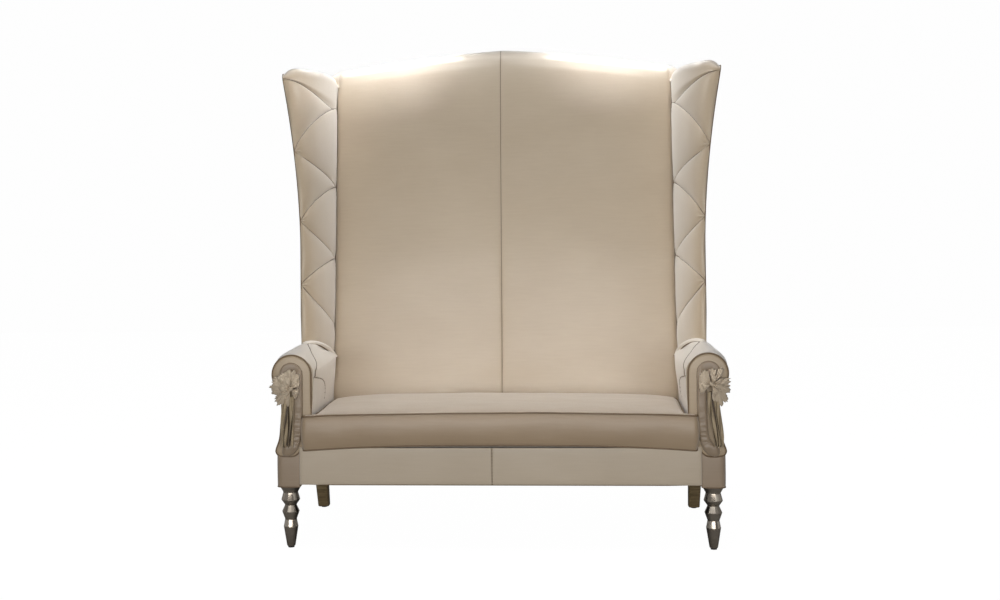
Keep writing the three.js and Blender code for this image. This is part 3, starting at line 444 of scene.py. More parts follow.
# pale is how much painted sheen, towards white, the leather takes where it is seen at a low
# angle.
def leather(name, light, dark, pale=0.9, roughness=0.4, coat=0.3, slub=1.0):
    """Satin leather between two tones, with painted sheen at low angles and darker in its
    seams, partly as painted shade.
    """
    material, tree, shader = new_finish(name)
    grain = place_group(tree, leather_grain, Slub_Scale=slub)
    seams = place_group(tree, seam_tone_and_shade)
    share = maths(tree, "MULTIPLY_ADD", grain["Tone"], 0.3,
                  maths(tree, "MULTIPLY", grain["Drift"], 0.7))
    tone = mix_color(tree, share, dark, light)
    # Painted sheen: the colour goes towards white where the surface is seen at a low angle.
    tone = mix_color(tree, painted_sheen_share(tree, pale), tone, PAINTED_SHEEN_WHITE)
    # Darker near seams: partly the seams' own tone, partly painted shade in their grooves.
    tone = mix_color(tree, seams["Line"], tone, SEAM_TONE_AND_SHADE)
    put(tree, shader.inputs["Base Color"], tone)
    rough = maths(tree, "MULTIPLY_ADD", grain["Tone"], -0.07, roughness + 0.04)
    rough = maths(tree, "MULTIPLY_ADD", seams["Line"], 0.2, rough)
    put(tree, shader.inputs["Roughness"], rough)
    shader.inputs["Coat Weight"].default_value = coat
    shader.inputs["Coat Roughness"].default_value = 0.28
    shader.inputs["Sheen Weight"].default_value = coat
    shader.inputs["Sheen Roughness"].default_value = 0.35
    height = maths(tree, "MULTIPLY_ADD", seams["Stitch"], -0.8, grain["Height"])
    bump(tree, shader, height, 0.0009, 0.55)
    return material


# %% [markdown]
# The covers share one leather. Its copy on the corner pads and the deck and its copy on
# the strips are darker, partly in their own tone and partly as painted shade, and each
# copy takes its own share of painted sheen. The piping and the cords in the seams are
# cut from a darker piece of it, the rosettes and their tails are soft unlined ribbon,
# two tails being dark sheets of painted shadow, the front legs are dark polished metal
# with painted reflections on their facets, and the hidden frame is sawn hardwood.

# %% The finishes
ivory = leather("ivory_leather", rgb(203, 187, 164), rgb(191, 174, 150))
# The wings' copy takes the largest share of painted sheen, so their inner sides, seen at a
# low angle, turn almost white.
wing_leather = leather("wing_leather", rgb(197, 178, 151), rgb(185, 166, 139), 1.0)
champagne = leather("champagne_leather", rgb(168, 145, 117), rgb(156, 133, 105), 0.42)
facing_leather = leather("facing_leather", rgb(184, 163, 134), rgb(172, 151, 122), 0.3)
# A darker copy for the corner pads and the deck: partly their own darker tone, partly painted
# shade on the rounded corner blocks.
base_leather_painted_shade = leather("base_leather_painted_shade", rgb(168, 147, 124), rgb(156, 135, 111), 0.3)
bead = leather("bright_piping", rgb(238, 230, 218), rgb(226, 216, 202))
# A darker copy for the gathered strips: partly their own darker tone, partly painted shade
# from the rosettes above them.
strip_leather_painted_shade = leather("strip_leather_painted_shade", rgb(152, 132, 108), rgb(140, 120, 97), 0.3)
piping = leather("piping_leather", rgb(126, 105, 80), rgb(110, 90, 66),
                 pale=0.0, roughness=0.48, coat=0.0, slub=2.2)
seam_cord = leather("seam_cord", rgb(114, 93, 70), rgb(98, 79, 58),
                    pale=0.0, roughness=0.55, coat=0.0, slub=2.2)


def ribbon(name, light, dark, sheen):
    """Soft unlined ribbon that shines along its threads."""
    material, tree, shader = new_finish(name)
    cloth = place_group(tree, weave, Threads=1400.0)
    grain = place_group(tree, leather_grain, Slub_Scale=2.5)
    share = maths(tree, "MULTIPLY_ADD", cloth["Tone"], 0.6,
                  maths(tree, "MULTIPLY", grain["Tone"], 0.4))
    put(tree, shader.inputs["Base Color"], mix_color(tree, share, dark, light))
    put(tree, shader.inputs["Roughness"], spread(tree, cloth["Tone"], 0.3, 0.7, 0.42, 0.6))
    shader.inputs["Sheen Weight"].default_value = sheen
    shader.inputs["Sheen Roughness"].default_value = 0.4
    bump(tree, shader, maths(tree, "MULTIPLY_ADD", cloth["Height"], 0.4, grain["Height"]),
         0.0006, 0.6)
    return material


petal_cloth = ribbon("petal_ribbon", rgb(212, 196, 173), rgb(188, 170, 146), 0.25)
tail_cloth = ribbon("tail_ribbon", rgb(190, 172, 142), rgb(158, 139, 108), 0.2)
# Painted shadow: a dark ribbon, hung behind the others where the gaps between the tails lie
# in shade.
painted_shadow_ribbon = ribbon("painted_shadow_tail_ribbon", rgb(84, 68, 48), rgb(62, 49, 33), 0.1)


def metal(name, light, dark, roughness, cut=None):
    """Polished metal with faint cloudy patches and long fine scratches; with a cut colour,
    facets painted light and dark as reflections.
    """
    material, tree, shader = new_finish(name)
    marks = place_group(tree, metal_marks)
    share = spread(tree, marks["Cloud"], 0.3, 0.7)
    tone = mix_color(tree, share, dark, light)
    rough = maths(tree, "MULTIPLY_ADD", marks["Scratch"], 0.08, roughness)
    # Painted reflection: the mesh's facet value mixes from the dark cut colour at 0 to the
    # light tone at 1, so some facets show light and others dark; lighter facets are also
    # rougher.
    if cut:
        facet = add_node(tree, "ShaderNodeAttribute", attribute_name="facet").outputs["Fac"]
        tone = mix_color(tree, facet, cut, tone)
        rough = maths(tree, "MULTIPLY_ADD", facet, 0.2, rough)
    put(tree, shader.inputs["Base Color"], tone)
    shader.inputs["Metallic"].default_value = 1.0
    put(tree, shader.inputs["Roughness"], rough)
    bump(tree, shader, marks["Scratch"], 0.0001, 0.3)
    return material


# The cut colour is the dark of the painted facet reflections.
pewter = metal("dark_pewter", rgb(246, 236, 220), rgb(222, 210, 194), 0.12,
               cut=rgb(150, 140, 128))
zinc = metal("zinc_plate", rgb(200, 202, 204), rgb(176, 178, 182), 0.3)


def wood(name, light, dark, pore, roughness, coat, scale=1.0):
    material, tree, shader = new_finish(name)
    grain = place_group(tree, wood_grain, Scale=scale)
    tone = mix_color(tree, grain["Rings"], dark, light)
    tone = mix_color(tree, grain["Pores"], pore, tone)
    put(tree, shader.inputs["Base Color"], tone)
    put(tree, shader.inputs["Roughness"],
        spread(tree, grain["Pores"], 0.0, 1.0, roughness + 0.12, roughness))
    shader.inputs["Coat Weight"].default_value = coat
    shader.inputs["Coat Roughness"].default_value = 0.2
    bump(tree, shader, grain["Height"], 0.0008, 0.4)
    return material


hardwood = wood("sawn_hardwood", rgb(214, 184, 142), rgb(188, 154, 110),
                rgb(150, 116, 78), 0.62, 0.0)
stained = wood("stained_leg", rgb(172, 150, 112), rgb(146, 125, 90), rgb(112, 95, 66),
               0.36, 0.25, 1.6)


def plain_weave(name, light, dark, roughness, threads):
    material, tree, shader = new_finish(name)
    cloth = place_group(tree, weave, Threads=threads)
    share = maths(tree, "MULTIPLY", cloth["Height"], cloth["Tone"])
    put(tree, shader.inputs["Base Color"], mix_color(tree, share, dark, light))
    put(tree, shader.inputs["Roughness"],
        spread(tree, cloth["Tone"], 0.2, 0.8, roughness - 0.05, roughness + 0.05))
    bump(tree, shader, cloth["Height"], 0.0005, 0.8)
    return material


jute = plain_weave("jute_webbing", rgb(176, 150, 112), rgb(120, 96, 66), 0.85, 420.0)
bottom_cloth = plain_weave("black_bottom_cloth", rgb(52, 52, 54), rgb(28, 28, 30), 0.9, 760.0)
nylon = plain_weave("moulded_nylon", rgb(60, 58, 56), rgb(48, 46, 45), 0.5, 60.0)
print("finishes:", len(bpy.data.materials))

# %% [markdown]
# ## A small mesh workshop
# Upholstery is made of a few kinds of shape: a panel stretched over padding, a skin
# drawn along a row of outlines, and a cord or band that follows a seam. A grid whose
# points are moved, a circle that is extruded from outline to outline and a sweep along
# a line make them all, and one function turns a finished mesh into a named piece that
# rides on its body and stands for its CAD solid.


# %% Panels, skins and sweeps
def patch(columns, rows, place):
    """A grid whose points are put where place(across, along) says, both from 0 to 1."""
    bm = bmesh.new()
    bmesh.ops.create_grid(bm, x_segments=columns, y_segments=rows, size=0.5)
    for v in bm.verts:
        v.co = place(v.co.x + 0.5, v.co.y + 0.5)
    return bm


def ring_skin(rings, ends=True):
    """A closed skin, drawn out from one ring of points to the next."""
    bm = bmesh.new()
    bmesh.ops.create_circle(bm, segments=len(rings[0]), radius=1)
    ring, edges = list(bm.verts), list(bm.edges)
    first = edges
    for v, point in zip(ring, rings[0]):
        v.co = point
    for points in rings[1:]:
        drawn = bmesh.ops.extrude_edge_only(bm, edges=edges)["geom"]
        edges = [g for g in drawn if isinstance(g, bmesh.types.BMEdge)]
        order = {v: i for i, v in enumerate(ring)}
        following = [None] * len(ring)
        for v in (g for g in drawn if isinstance(g, bmesh.types.BMVert)):
            for edge in v.link_edges:
                other = edge.other_vert(v)
                if other in order:
                    following[order[other]] = v
        for v, point in zip(following, points):
            v.co = point
        ring = following
    if ends:
        for loop in (first, edges):
            bmesh.ops.edgeloop_fill(bm, edges=loop)
    return bm


def along(points):
    """The direction of a line of points at each of them."""
    last = len(points) - 1
    return [(points[min(i + 1, last)] - points[max(i - 1, 0)]).normalized()
            for i in range(len(points))]


def sweep(points, outline_at):
    """An outline of (across, out) steps carried along a line of points."""
    points = [Vector(p) for p in points]
    rings = []
    out = along(points)[0].orthogonal()
    for i, (point, ahead) in enumerate(zip(points, along(points))):
        out = (out - ahead * out.dot(ahead)).normalized()
        across = ahead.cross(out)
        share = i / (len(points) - 1)
        rings.append([point + across * a + out * b for a, b in outline_at(share)])
    return ring_skin(rings)


def cord(points, radius, sides=8):
    """A round cord that narrows to nothing at both ends."""
    def outline(share):
        r = radius * min(1.0, 0.05 + 12 * share, 0.05 + 12 * (1 - share))
        return [(r * math.cos(2 * math.pi * k / sides), r * math.sin(2 * math.pi * k / sides))
                for k in range(sides)]
    return sweep(points, outline)


def join(bm, other, number=0):
    """Adds another mesh's faces, with the finish of that number."""
    for face in other.faces:
        face.material_index = number
    held = bpy.data.meshes.new("held")
    other.to_mesh(held)
    other.free()
    bm.from_mesh(held)
    bpy.data.meshes.remove(held)
    return bm


def smooth_line(points, steps=8):
    """A smooth line through a few points."""
    points = [Vector(p) for p in points]
    ends = [2 * points[0] - points[1]] + points + [2 * points[-1] - points[-2]]
    line = []
    for i in range(1, len(ends) - 2):
        a, b, c, d = ends[i - 1:i + 3]
        for k in range(steps):
            t = k / steps
            line.append(0.5 * (2 * b + (c - a) * t + (2 * a - 5 * b + 4 * c - d) * t * t
                               + (3 * b - a - 3 * c + d) * t**3))
    return line + [points[-1]]


def uneven(point, size, depth):
    """A gentle unevenness of a hand-covered surface."""
    return depth * noise.noise(Vector(point) / size)


def mark_seams(bm, lines, reach=4 * MM):
    """Writes how near each point is to a seam, from 1 on it to 0 at the reach."""
    layer = bm.verts.layers.float.get("seam") or bm.verts.layers.float.new("seam")
    spots = [Vector(p) for line in lines for p in line]
    tree = KDTree(len(spots))
    for i, spot in enumerate(spots):
        tree.insert(spot, i)
    tree.balance()
    for v in bm.verts:
        distance = tree.find(v.co)[2]
        v[layer] = max(v[layer], 1 - distance / reach, 0.0)


def point_out(bm, outwards):
    """Turns an open panel so that its faces point the way that is given."""
    total = Vector()
    for face in bm.faces:
        total += face.normal * face.calc_area()
    if total.dot(Vector(outwards)) < 0:
        bmesh.ops.reverse_faces(bm, faces=bm.faces)


# %% From a mesh to a piece
MERGE = 0.02 * MM  # points that are closer than this become one


def make_piece(name, bm, finishes, replaces=(), body=FIXED,
               outwards=None, wall=None, sharp=38):
    bmesh.ops.remove_doubles(bm, verts=bm.verts, dist=MERGE)
    bmesh.ops.dissolve_degenerate(bm, edges=bm.edges, dist=MERGE / 4)
    bmesh.ops.recalc_face_normals(bm, faces=bm.faces)
    if outwards is not None:
        bm.normal_update()
        point_out(bm, outwards)
    data = bpy.data.meshes.new(name)
    bm.to_mesh(data)
    bm.free()
    data.shade_smooth()
    data.set_sharp_from_angle(angle=math.radians(sharp))
    for finish in finishes:
        data.materials.append(finish)
    item = bpy.data.objects.new(name, data)
    bpy.context.scene.collection.objects.link(item)
    if wall:
        thick = item.modifiers.new("wall", "SOLIDIFY")
        thick.thickness = wall
        thick.offset = -1
        thick.use_quality_normals = True
    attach(item, body)
    if replaces:
        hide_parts(*replaces)
    print(f"{name}: {len(data.polygons)} faces")
    return item

# %% [markdown]
# ## The tall back
# The inside back is one cover of two hides, sewn together down the middle and pulled
# over foam, over the top rail and down behind it. Its camel curve is the whole
# silhouette. Seen from the side it rises straight along the raked back and then rolls
# over, so the top turns towards the light. It is drawn as upright outlines from side to
# side, set close together near the seam and near the wings, where the cover dives in.

# %% Back pad
BACK_SEAM = -9 * MM
ROLL_BACK = 30 * MM  # how far the face has bent back where it rolls over
ROLL_REACH = 210 * MM  # the height over which it bends
ROLL_HEIGHT = 48 * MM  # from there to the top edge
REAR_ARC = 20 * MM
FACE_STEPS, ROLL_STEPS, ARC_STEPS = 104, 10, 8
PROFILE_END = FACE_STEPS + ROLL_STEPS + ARC_STEPS + 2  # points up to the rear edge
FOOT_SWEEP = 14 * MM  # the foot of the back sweeps forward to the cushion
LOW = DECK_TOP + 0.3 * MM


def back_face(x, z):
    """The padded front face of the back."""
    top = camel_z(x)
    width = BACK_HALF + (BACK_SEAM if x < BACK_SEAM else -BACK_SEAM)
    side = min(1.0, abs(x - BACK_SEAM) / width)
    high = (z - LOW) / (top - ROLL_HEIGHT - LOW)
    puff = 12 * MM * swell(side, 0.5) * swell(min(1.0, 0.03 + 0.97 * high), 0.3)
    seam = 1.5 * MM * math.exp(-((x - BACK_SEAM) / (3 * MM)) ** 2)
    edge = max(0.0, (abs(x) - BACK_HALF + 20 * MM) / (20 * MM))
    roll = ROLL_BACK * max(0.0, 1 - (top - ROLL_HEIGHT - z) / ROLL_REACH) ** 2
    foot = FOOT_SWEEP * (1 - ease((z - LOW - 112 * MM) / (130 * MM)))
    calm = ease(abs(x - BACK_SEAM) / (30 * MM))
    wave = calm * (uneven((x, z, 0), 0.22, 2.2 * MM) + uneven((x, z, 5), 0.07, 0.7 * MM))
    return back_y(z) - puff + seam + 8 * MM * edge**2.4 + roll + wave - foot


def back_outline(x):
    top = camel_z(x)
    low, high = LOW, top - ROLL_HEIGHT
    heights = [lerp(low, high, i / FACE_STEPS) for i in range(FACE_STEPS + 1)]
    ring = [Vector((x, back_face(x, z), z)) for z in heights]
    start = ring[-1].y - back_y(high)
    lean = math.atan(2 * ROLL_BACK / ROLL_REACH)
    radius = ROLL_HEIGHT / (1 - math.sin(lean))
    for i in range(1, ROLL_STEPS + 1):
        turn = lerp(lean, math.pi / 2, i / ROLL_STEPS)
        z = top - radius * (1 - math.sin(turn))
        away = radius * (math.cos(lean) - math.cos(turn))
        ring.append(Vector((x, back_y(z) + start + away, z)))
    for i in range(ARC_STEPS + 1):
        turn = math.pi / 2 * i / ARC_STEPS
        z = top - REAR_ARC * (1 - math.cos(turn))
        ring.append(Vector((x, back_y(z) + BACK_THICK - REAR_ARC * (1 - math.sin(turn)), z)))
    under = top - CAP
    ring.append(Vector((x, back_y(under) + BACK_THICK, under + 2 * MM)))
    ring.append(Vector((x, back_y(under) + BACK_THICK - 4 * MM, under)))
    ring.append(Vector((x, back_y(under) + PAD_DEPTH, under)))
    ring.append(Vector((x, back_y(low) + PAD_DEPTH, low)))
    return ring


def back_columns(count=44):
    """Places across the back, close together at the seam and at both edges."""
    shares = bunched(count)
    left = [lerp(-BACK_HALF, BACK_SEAM, s) for s in shares]
    right = [lerp(BACK_SEAM, BACK_HALF, s) for s in shares]
    return left + right[1:]


# how far out from the back's edge each outline of an upper corner stands, in mm
CORNER_STEPS = (-3, 0, 4, 8, 13, 19, 26, 34, 42, 49, 56, 64, 90, 112, 116, 118)
CORNER_FALL = 68  # mm over which a corner sinks to the height of the wing's top
CORNER_END = 112  # mm from where its end is rounded off


def shoulder_end(side):
    """The cover's upper corner, pulled down over the rear of the wing's top."""
    bottom = WING_TOP - 44 * MM
    profile = [p for p in back_outline(BACK_HALF)[60:PROFILE_END] if p.z > bottom]
    low = (WING_TOP + 2 * MM - bottom) / (SHOULDER - bottom)
    rings = []
    for away in CORNER_STEPS:
        scale = lerp(1, low, ease((away + 4) / CORNER_FALL))
        scale -= 0.05 * ease((away - CORNER_END) / 6)
        ring = [Vector((0, back_y(bottom) + 20 * MM, bottom))]
        for p in profile:
            z = bottom + (p.z - bottom) * scale
            ring.append(Vector((0, p.y - back_y(p.z) + back_y(z) - 1 * MM, z)))
        ring.append(Vector((0, back_y(bottom) + BACK_THICK - 3 * MM, bottom)))
        rings.append([Vector((side * (BACK_HALF + away * MM), p.y, p.z)) for p in ring])
    return ring_skin(rings)


back = ring_skin([back_outline(x) for x in back_columns()])
seam_path = [p + Vector((0, -0.2 * MM, 0)) for p in back_outline(BACK_SEAM)[8:PROFILE_END]]
mark_seams(back, [seam_path], 2 * MM)
top_path = [Vector((x, back_y(camel_z(x) - CAP) + BACK_THICK + 1 * MM,
                    camel_z(x) - CAP)) for x in back_columns(24)]
join(back, cord(top_path, 2.6 * MM), 1)
join(back, cord(seam_path[::2], 0.7 * MM, 6), 2)
for _, side in SIDES:
    join(back, shoulder_end(side))
make_piece("back_cover", back, (ivory, piping, seam_cord), ("back_pad",))

# %% [markdown]
# ## The quilted wings
# In plan a wing is a quarter round: it leaves the back facing inwards and ends facing
# forwards. Its cover is cut into long triangles whose seams zigzag between the inner
# and the outer edge, with fibre under each triangle. Rows of points follow the seams,
# close together beside them, so every seam stays a narrow sharp valley and every
# triangle swells on its own. The last seam is an arch, over which the top rolls back.

# %% Seams of a wing
# Each pair gives one seam's inner and outer end, as shares of the wing's height.
SEAM_ENDS = ((0, 0), (.046, .213), (.299, .213), (.299, .441), (.569, .441),
             (.569, .694), (.872, .694), (.864, .958))
WING_SPAN = WING_TOP - WING_BASE
PUFF = 13 * MM
TOP_ROLL = 38 * MM
CORNER_DROP = 24 * MM
CORNER_REACH = 56 * MM
CORNER_TOP = WING_TOP - CORNER_DROP


def roll_height(x, y):
    """Height of the arm roll's top at a place, for the right arm."""
    share = min(1.0, max(0.0, (y - FRONT) / (back_y(SCROLL_Z) - FRONT)))
    radius = lerp(SCROLL_R, SCROLL_REAR_R, share)
    off = x - (SCROLL_X + SCROLL_R - radius)
    up = math.sqrt(max(0.0, radius**2 - off**2))
    return SCROLL_Z + up + ROLL_SWELL * swell(share, 0.6) * up / radius


def foot_z(u):
    """A wing's foot stands on the arm roll, so it reaches lower at its inner end."""
    turn = u * math.pi / 2
    x = WING_INNER + (wing_outer_x(WING_BASE) - WING_INNER) * (1 - math.cos(turn))
    y = back_y(WING_BASE) + (wing_front_y(WING_BASE) - back_y(WING_BASE)) * math.sin(turn)
    return min(WING_BASE, roll_height(x, y) - 1 * MM)


def seam_z(number, u):
    """Height of a seam, from its inner end (u = 0) to its outer end (u = 1)."""
    if number == 0:
        return foot_z(u)
    inner, outer = (WING_BASE + WING_SPAN * end for end in SEAM_ENDS[number])
    if number == len(SEAM_ENDS) - 1:
        drop = ease(min(1.0, (1 - u) * 1.1))
        return lerp(outer, inner, drop)
    return lerp(inner, outer, u**1.7 if inner > outer else u)


def wing_point(u, z, puff=0.0):
    """A point of the quarter round, for the right wing."""
    turn = u * math.pi / 2
    span_x = wing_outer_x(z) - WING_INNER
    span_y = wing_front_y(z) - back_y(z)
    x = WING_INNER + span_x * (1 - math.cos(turn)) - puff * math.cos(turn)
    return Vector((x, back_y(z) + span_y * math.sin(turn) - puff * math.sin(turn), z))


def lid_z(x):
    """The rounded upper end: its outer corner drops."""
    near = min(1.0, max(0.0, 1 - (wing_outer_x(CORNER_TOP) - x) / CORNER_REACH))
    return WING_TOP - CORNER_DROP * near**2


def wing_top(u):
    return lid_z(wing_point(u, WING_TOP).x)


def channel_puff(u, number, t):
    low, high = seam_z(number, u), seam_z(number + 1, u)
    room = min(1.0, (high - low) / (0.16 * WING_SPAN))
    sides = swell(u, 0.32)
    return PUFF * swell(t, 0.42) * math.sqrt(max(0.0, room)) * sides


WRINKLE_START, WRINKLE_END = 0.004, 0.075


def wing_wrinkle(u, z):
    """Small gathers that run out from the ends of the seams."""
    depth = 0.0
    for inner, outer in SEAM_ENDS[1:]:
        for end, at in ((inner, 0.0), (outer, 1.0)):
            dz = z - (WING_BASE + WING_SPAN * end)
            du = abs(u - at) * 0.30
            far = math.hypot(dz, du)
            if WRINKLE_START < far < WRINKLE_END:
                spread = math.atan2(dz, du)
                fade = swell(far / WRINKLE_END, 0.8)
                depth += 0.8 * MM * fade * math.sin(spread * 17 + 2.1 * at)
    return depth


# %% Outlines of a wing
def hidden_side(low_z, high_z):
    """The way back round the board, from the outer edge to the inner one."""
    out, post = wing_outer_x(high_z), wing_outer_x(high_z) - WING_BOARD
    cosine = WING_BOARD / (out - WING_INNER)
    depth = math.sqrt(1 - cosine * cosine)
    edge = lerp(back_y(high_z), wing_front_y(high_z), depth) + 13.7 * MM
    middle = (low_z + high_z) / 2
    return [Vector((out, lerp(wing_front_y(high_z), edge, 0.5), high_z)),
            Vector((out, edge, high_z)), Vector((post, edge, high_z)),
            Vector((wing_outer_x(middle) - WING_BOARD, back_y(middle) + PAD_DEPTH, middle)),
            Vector((WING_INNER, back_y(low_z) + PAD_DEPTH, low_z))]


WING_COLUMNS = bunched(56)


def wing_rings():
    """All outlines of the right wing, from its base to where its top rolls back."""
    rings = []
    for number in range(len(SEAM_ENDS) - 1):
        for t in bunched(16)[:-1]:
            ring = []
            for u in WING_COLUMNS:
                z = lerp(seam_z(number, u), seam_z(number + 1, u), t)
                puff = channel_puff(u, number, t) + wing_wrinkle(u, z)
                wave = uneven((u * 0.3, 0, z), 0.06, 1.0 * MM) * swell(t, 0.5)
                ring.append(wing_point(u, z, puff + wave * swell(u, 0.5)))
            rings.append(ring + hidden_side(ring[0].z, ring[-1].z))
    last = len(SEAM_ENDS) - 1
    for i in range(13):
        t = i / 12
        ring = []
        for u in WING_COLUMNS:
            high = wing_top(u) - TOP_ROLL
            z = lerp(seam_z(last, u), max(high, seam_z(last, u)), t)
            puff = 0.75 * PUFF * ease(min(1.0, t * 3)) * swell(u, 0.4) * (1 - 0.5 * t)
            ring.append(wing_point(u, z, puff))
        rings.append(ring + hidden_side(ring[0].z, ring[-1].z))
    return rings


def wing_lid(rings):
    """The roll over the top and the flat lid behind it."""
    start = rings[-1]
    for i in range(1, 9):
        turn = math.pi / 2 * i / 8
        ring = []
        for u, below in zip(WING_COLUMNS, start):
            low = below.z
            z = lerp(low, wing_top(u), math.sin(turn))
            step = TOP_ROLL * (1 - math.cos(turn))
            angle = u * math.pi / 2
            wider = (wing_outer_x(z) - wing_outer_x(low)) * (1 - math.cos(angle))
            move = Vector((step * math.cos(angle) + wider, step * math.sin(angle), z - low))
            ring.append(below + move)
        z = ring[-1].z
        out = ring[-1].x
        edge = wing_front_y(z) + TOP_ROLL * (1 - math.cos(turn))
        y = back_y(z) + BACK_THICK
        ring.append(Vector((out, lerp(edge, y, 0.15), z)))
        ring.append(Vector((out, lerp(edge, y, 0.5), z)))
        ring.append(Vector((out, y, z)))
        under = wing_top(1.0) - z
        for step in (0.12, 0.25, 0.4, 0.6, 0.8):
            x = lerp(out, WING_INNER, step)
            ring.append(Vector((x, y, lid_z(x) - under)))
        ring.append(Vector((WING_INNER, back_y(ring[0].z) + BACK_THICK, ring[0].z)))
        rings.append(ring)
    edge_ring = rings[-1]
    middle = sum(edge_ring, Vector()) / len(edge_ring)
    for share in (0.06, 0.2, 0.45, 0.75):
        spots = [p.lerp(middle, share) for p in edge_ring]
        rings.append([Vector((p.x, p.y, lerp(p.z, lid_z(p.x), min(1.0, share * 3))))
                      for p in spots])
    return rings


# %% Both wings, with their welts and seam cords
def seam_path_of(number):
    return [wing_point(i / 40, seam_z(number, i / 40), 0.4 * MM) for i in range(41)]


def wing_edge_path():
    """The outer welt: up the front edge, round the corner and back over the top."""
    low = [wing_point(1.0, lerp(WING_BASE, CORNER_TOP - TOP_ROLL, i / 60))
           for i in range(61)]
    over = []
    for back, down in ((3, 22), (12, 8), (38, 0), (160, 0)):
        z = CORNER_TOP - down * MM
        over.append(Vector((wing_outer_x(z), wing_front_y(z) + back * MM, z)))
    over.append(Vector((wing_outer_x(CORNER_TOP), back_y(CORNER_TOP) + BACK_THICK,
                        CORNER_TOP)))
    return smooth_line(low[::6] + over, 6)


wing_rows = wing_lid(wing_rings())
for name, side in SIDES:
    wing = ring_skin([mirrored(ring, side) for ring in wing_rows])
    seams = [mirrored(seam_path_of(n), side) for n in range(1, len(SEAM_ENDS))]
    mark_seams(wing, seams, 3.5 * MM)
    join(wing, cord(mirrored(wing_edge_path(), side), 2.8 * MM), 1)
    for path in seams:
        join(wing, cord(path, 1.3 * MM, 6), 2)
    inner_edge = [wing_point(0.0, lerp(WING_BASE, WING_TOP - 60 * MM, i / 60), 2 * MM)
                  for i in range(61)]
    join(wing, cord(mirrored(inner_edge, side), 1.6 * MM, 6), 2)
    make_piece(f"{name}_wing_quilt", wing, (wing_leather, piping, seam_cord),
               (f"{name}_wing_pad",))

# %% [markdown]
# ## The scroll arms
# An arm is a wall with a roll on top. Its cover is drawn over the roll from the seat to
# the outside, and two seams start at the front, one up over the roll and one down the
# inner wall, which lets the hide follow the bend. The front is closed by a flat facing
# with a welt all round, whose lower end laps over the corner as a rounded apron.

# %% The arm's section
ARM_FRONT = FRONT + 8 * MM
ARM_LOW = BLOCK_TOP + 0.3 * MM
INNER_SHARE = 0.42  # of the section's points lie on the inner wall
WALL_TOP = SCROLL_Z - SCROLL_R * 0.12
WALL_BULGE = 21 * MM
ROLL_START = math.pi * 0.965  # the roll's angle where the inner wall ends
SECTION_STEPS = 118


def roll_end(radius):
    """The roll's angle where its outside ends, above the waist."""
    return -math.asin(min(1.0, (SCROLL_Z - ARM_UNDER) * 0.95 / radius))


def rear_of(z):
    return back_y(z) - 0.6 * MM


def roll_seam_angle(share):
    """Where the upper seam crosses the roll, from the inner side (pi) to the top."""
    return math.pi * (0.985 - 0.565 * ease(min(1.0, share * 1.35)) ** 0.7)


def wall_seam_z(share):
    """The lower seam runs back first and then turns down into the seat."""
    return SCROLL_Z - 9 * MM - 45 * MM * (share / 0.5) - 160 * MM * (share / 0.55) ** 6


def arm_point(share, s, lift=0.0):
    """A point of the right arm: share goes to the back, s from the wall to the outside."""
    radius = lerp(SCROLL_R, SCROLL_REAR_R, share)
    rise = ROLL_SWELL * swell(share, 0.6)
    full = 11 * MM * ease(min(1.0, share * 7)) * ease(min(1.0, (1 - share) * 3))
    fullness = swell(min(1.0, share + 0.02), 0.36)
    centre_x = SCROLL_X + SCROLL_R - radius
    if s < INNER_SHARE:
        z = lerp(ARM_LOW, WALL_TOP, s / INNER_SHARE)
        high = (z - ARM_LOW) / (SCROLL_Z - ARM_LOW)
        bulge = WALL_BULGE * fullness * ease((high - 0.3) / 0.7)
        x = ARM_INNER + ARM_SPLAY * share - bulge
        groove = 1.6 * MM * math.exp(-((z - wall_seam_z(share)) / (3.2 * MM)) ** 2)
        wave = uneven((share, 3, z), 0.12, 1.2 * MM)
        point = Vector((x + groove + wave - lift, 0, z))
    else:
        turned = (s - INNER_SHARE) / (1 - INNER_SHARE)
        angle = lerp(ROLL_START, roll_end(radius), turned)
        away = radius * abs(angle - roll_seam_angle(share))
        groove = 1.8 * MM * math.exp(-(away / (3.2 * MM)) ** 2)
        puff = 1.4 * MM * swell(min(1.0, away / (60 * MM)), 0.6) * swell(
            min(1.0, share + 0.01), 0.5)
        r = radius - groove + puff + lift + uneven((share, angle, 8), 0.35, 1.0 * MM)
        r += full * max(0.0, math.cos((angle - 0.45) * 1.35))
        r -= 7 * MM * ease(share * 1.6) * math.exp(-((angle - 2.45) / 0.42) ** 2)
        up = math.sin(angle)
        edge_join = ease((ROLL_START - angle) / 0.95)
        x = centre_x + r * math.cos(angle)
        x -= WALL_BULGE * (1 - edge_join) * fullness
        point = Vector((x, 0, SCROLL_Z + r * up + rise * max(0.0, up)))
    point.y = lerp(ARM_FRONT, rear_of(point.z), share)
    return point


def arm_ring(share):
    ring = [arm_point(share, i / SECTION_STEPS) for i in range(SECTION_STEPS + 1)]
    y = lerp(ARM_FRONT, rear_of(ARM_UNDER), share)
    ring.append(Vector((WAIST, y, ARM_UNDER)))
    ring.append(Vector((ARM_INNER + 40 * MM, y, ARM_UNDER)))
    ring.append(Vector((ARM_INNER + 40 * MM, lerp(ARM_FRONT, rear_of(ARM_LOW), share),
                        ARM_LOW)))
    return ring


def roll_s(angle, share):
    """The section place that lies at an angle of the roll."""
    end = roll_end(lerp(SCROLL_R, SCROLL_REAR_R, share))
    return INNER_SHARE + (1 - INNER_SHARE) * (angle - ROLL_START) / (end - ROLL_START)


def roll_seam_path():
    points = []
    for i in range(49):
        share = i / 48 * 0.62
        points.append(arm_point(share, roll_s(roll_seam_angle(share), share), 0.6 * MM))
    return points


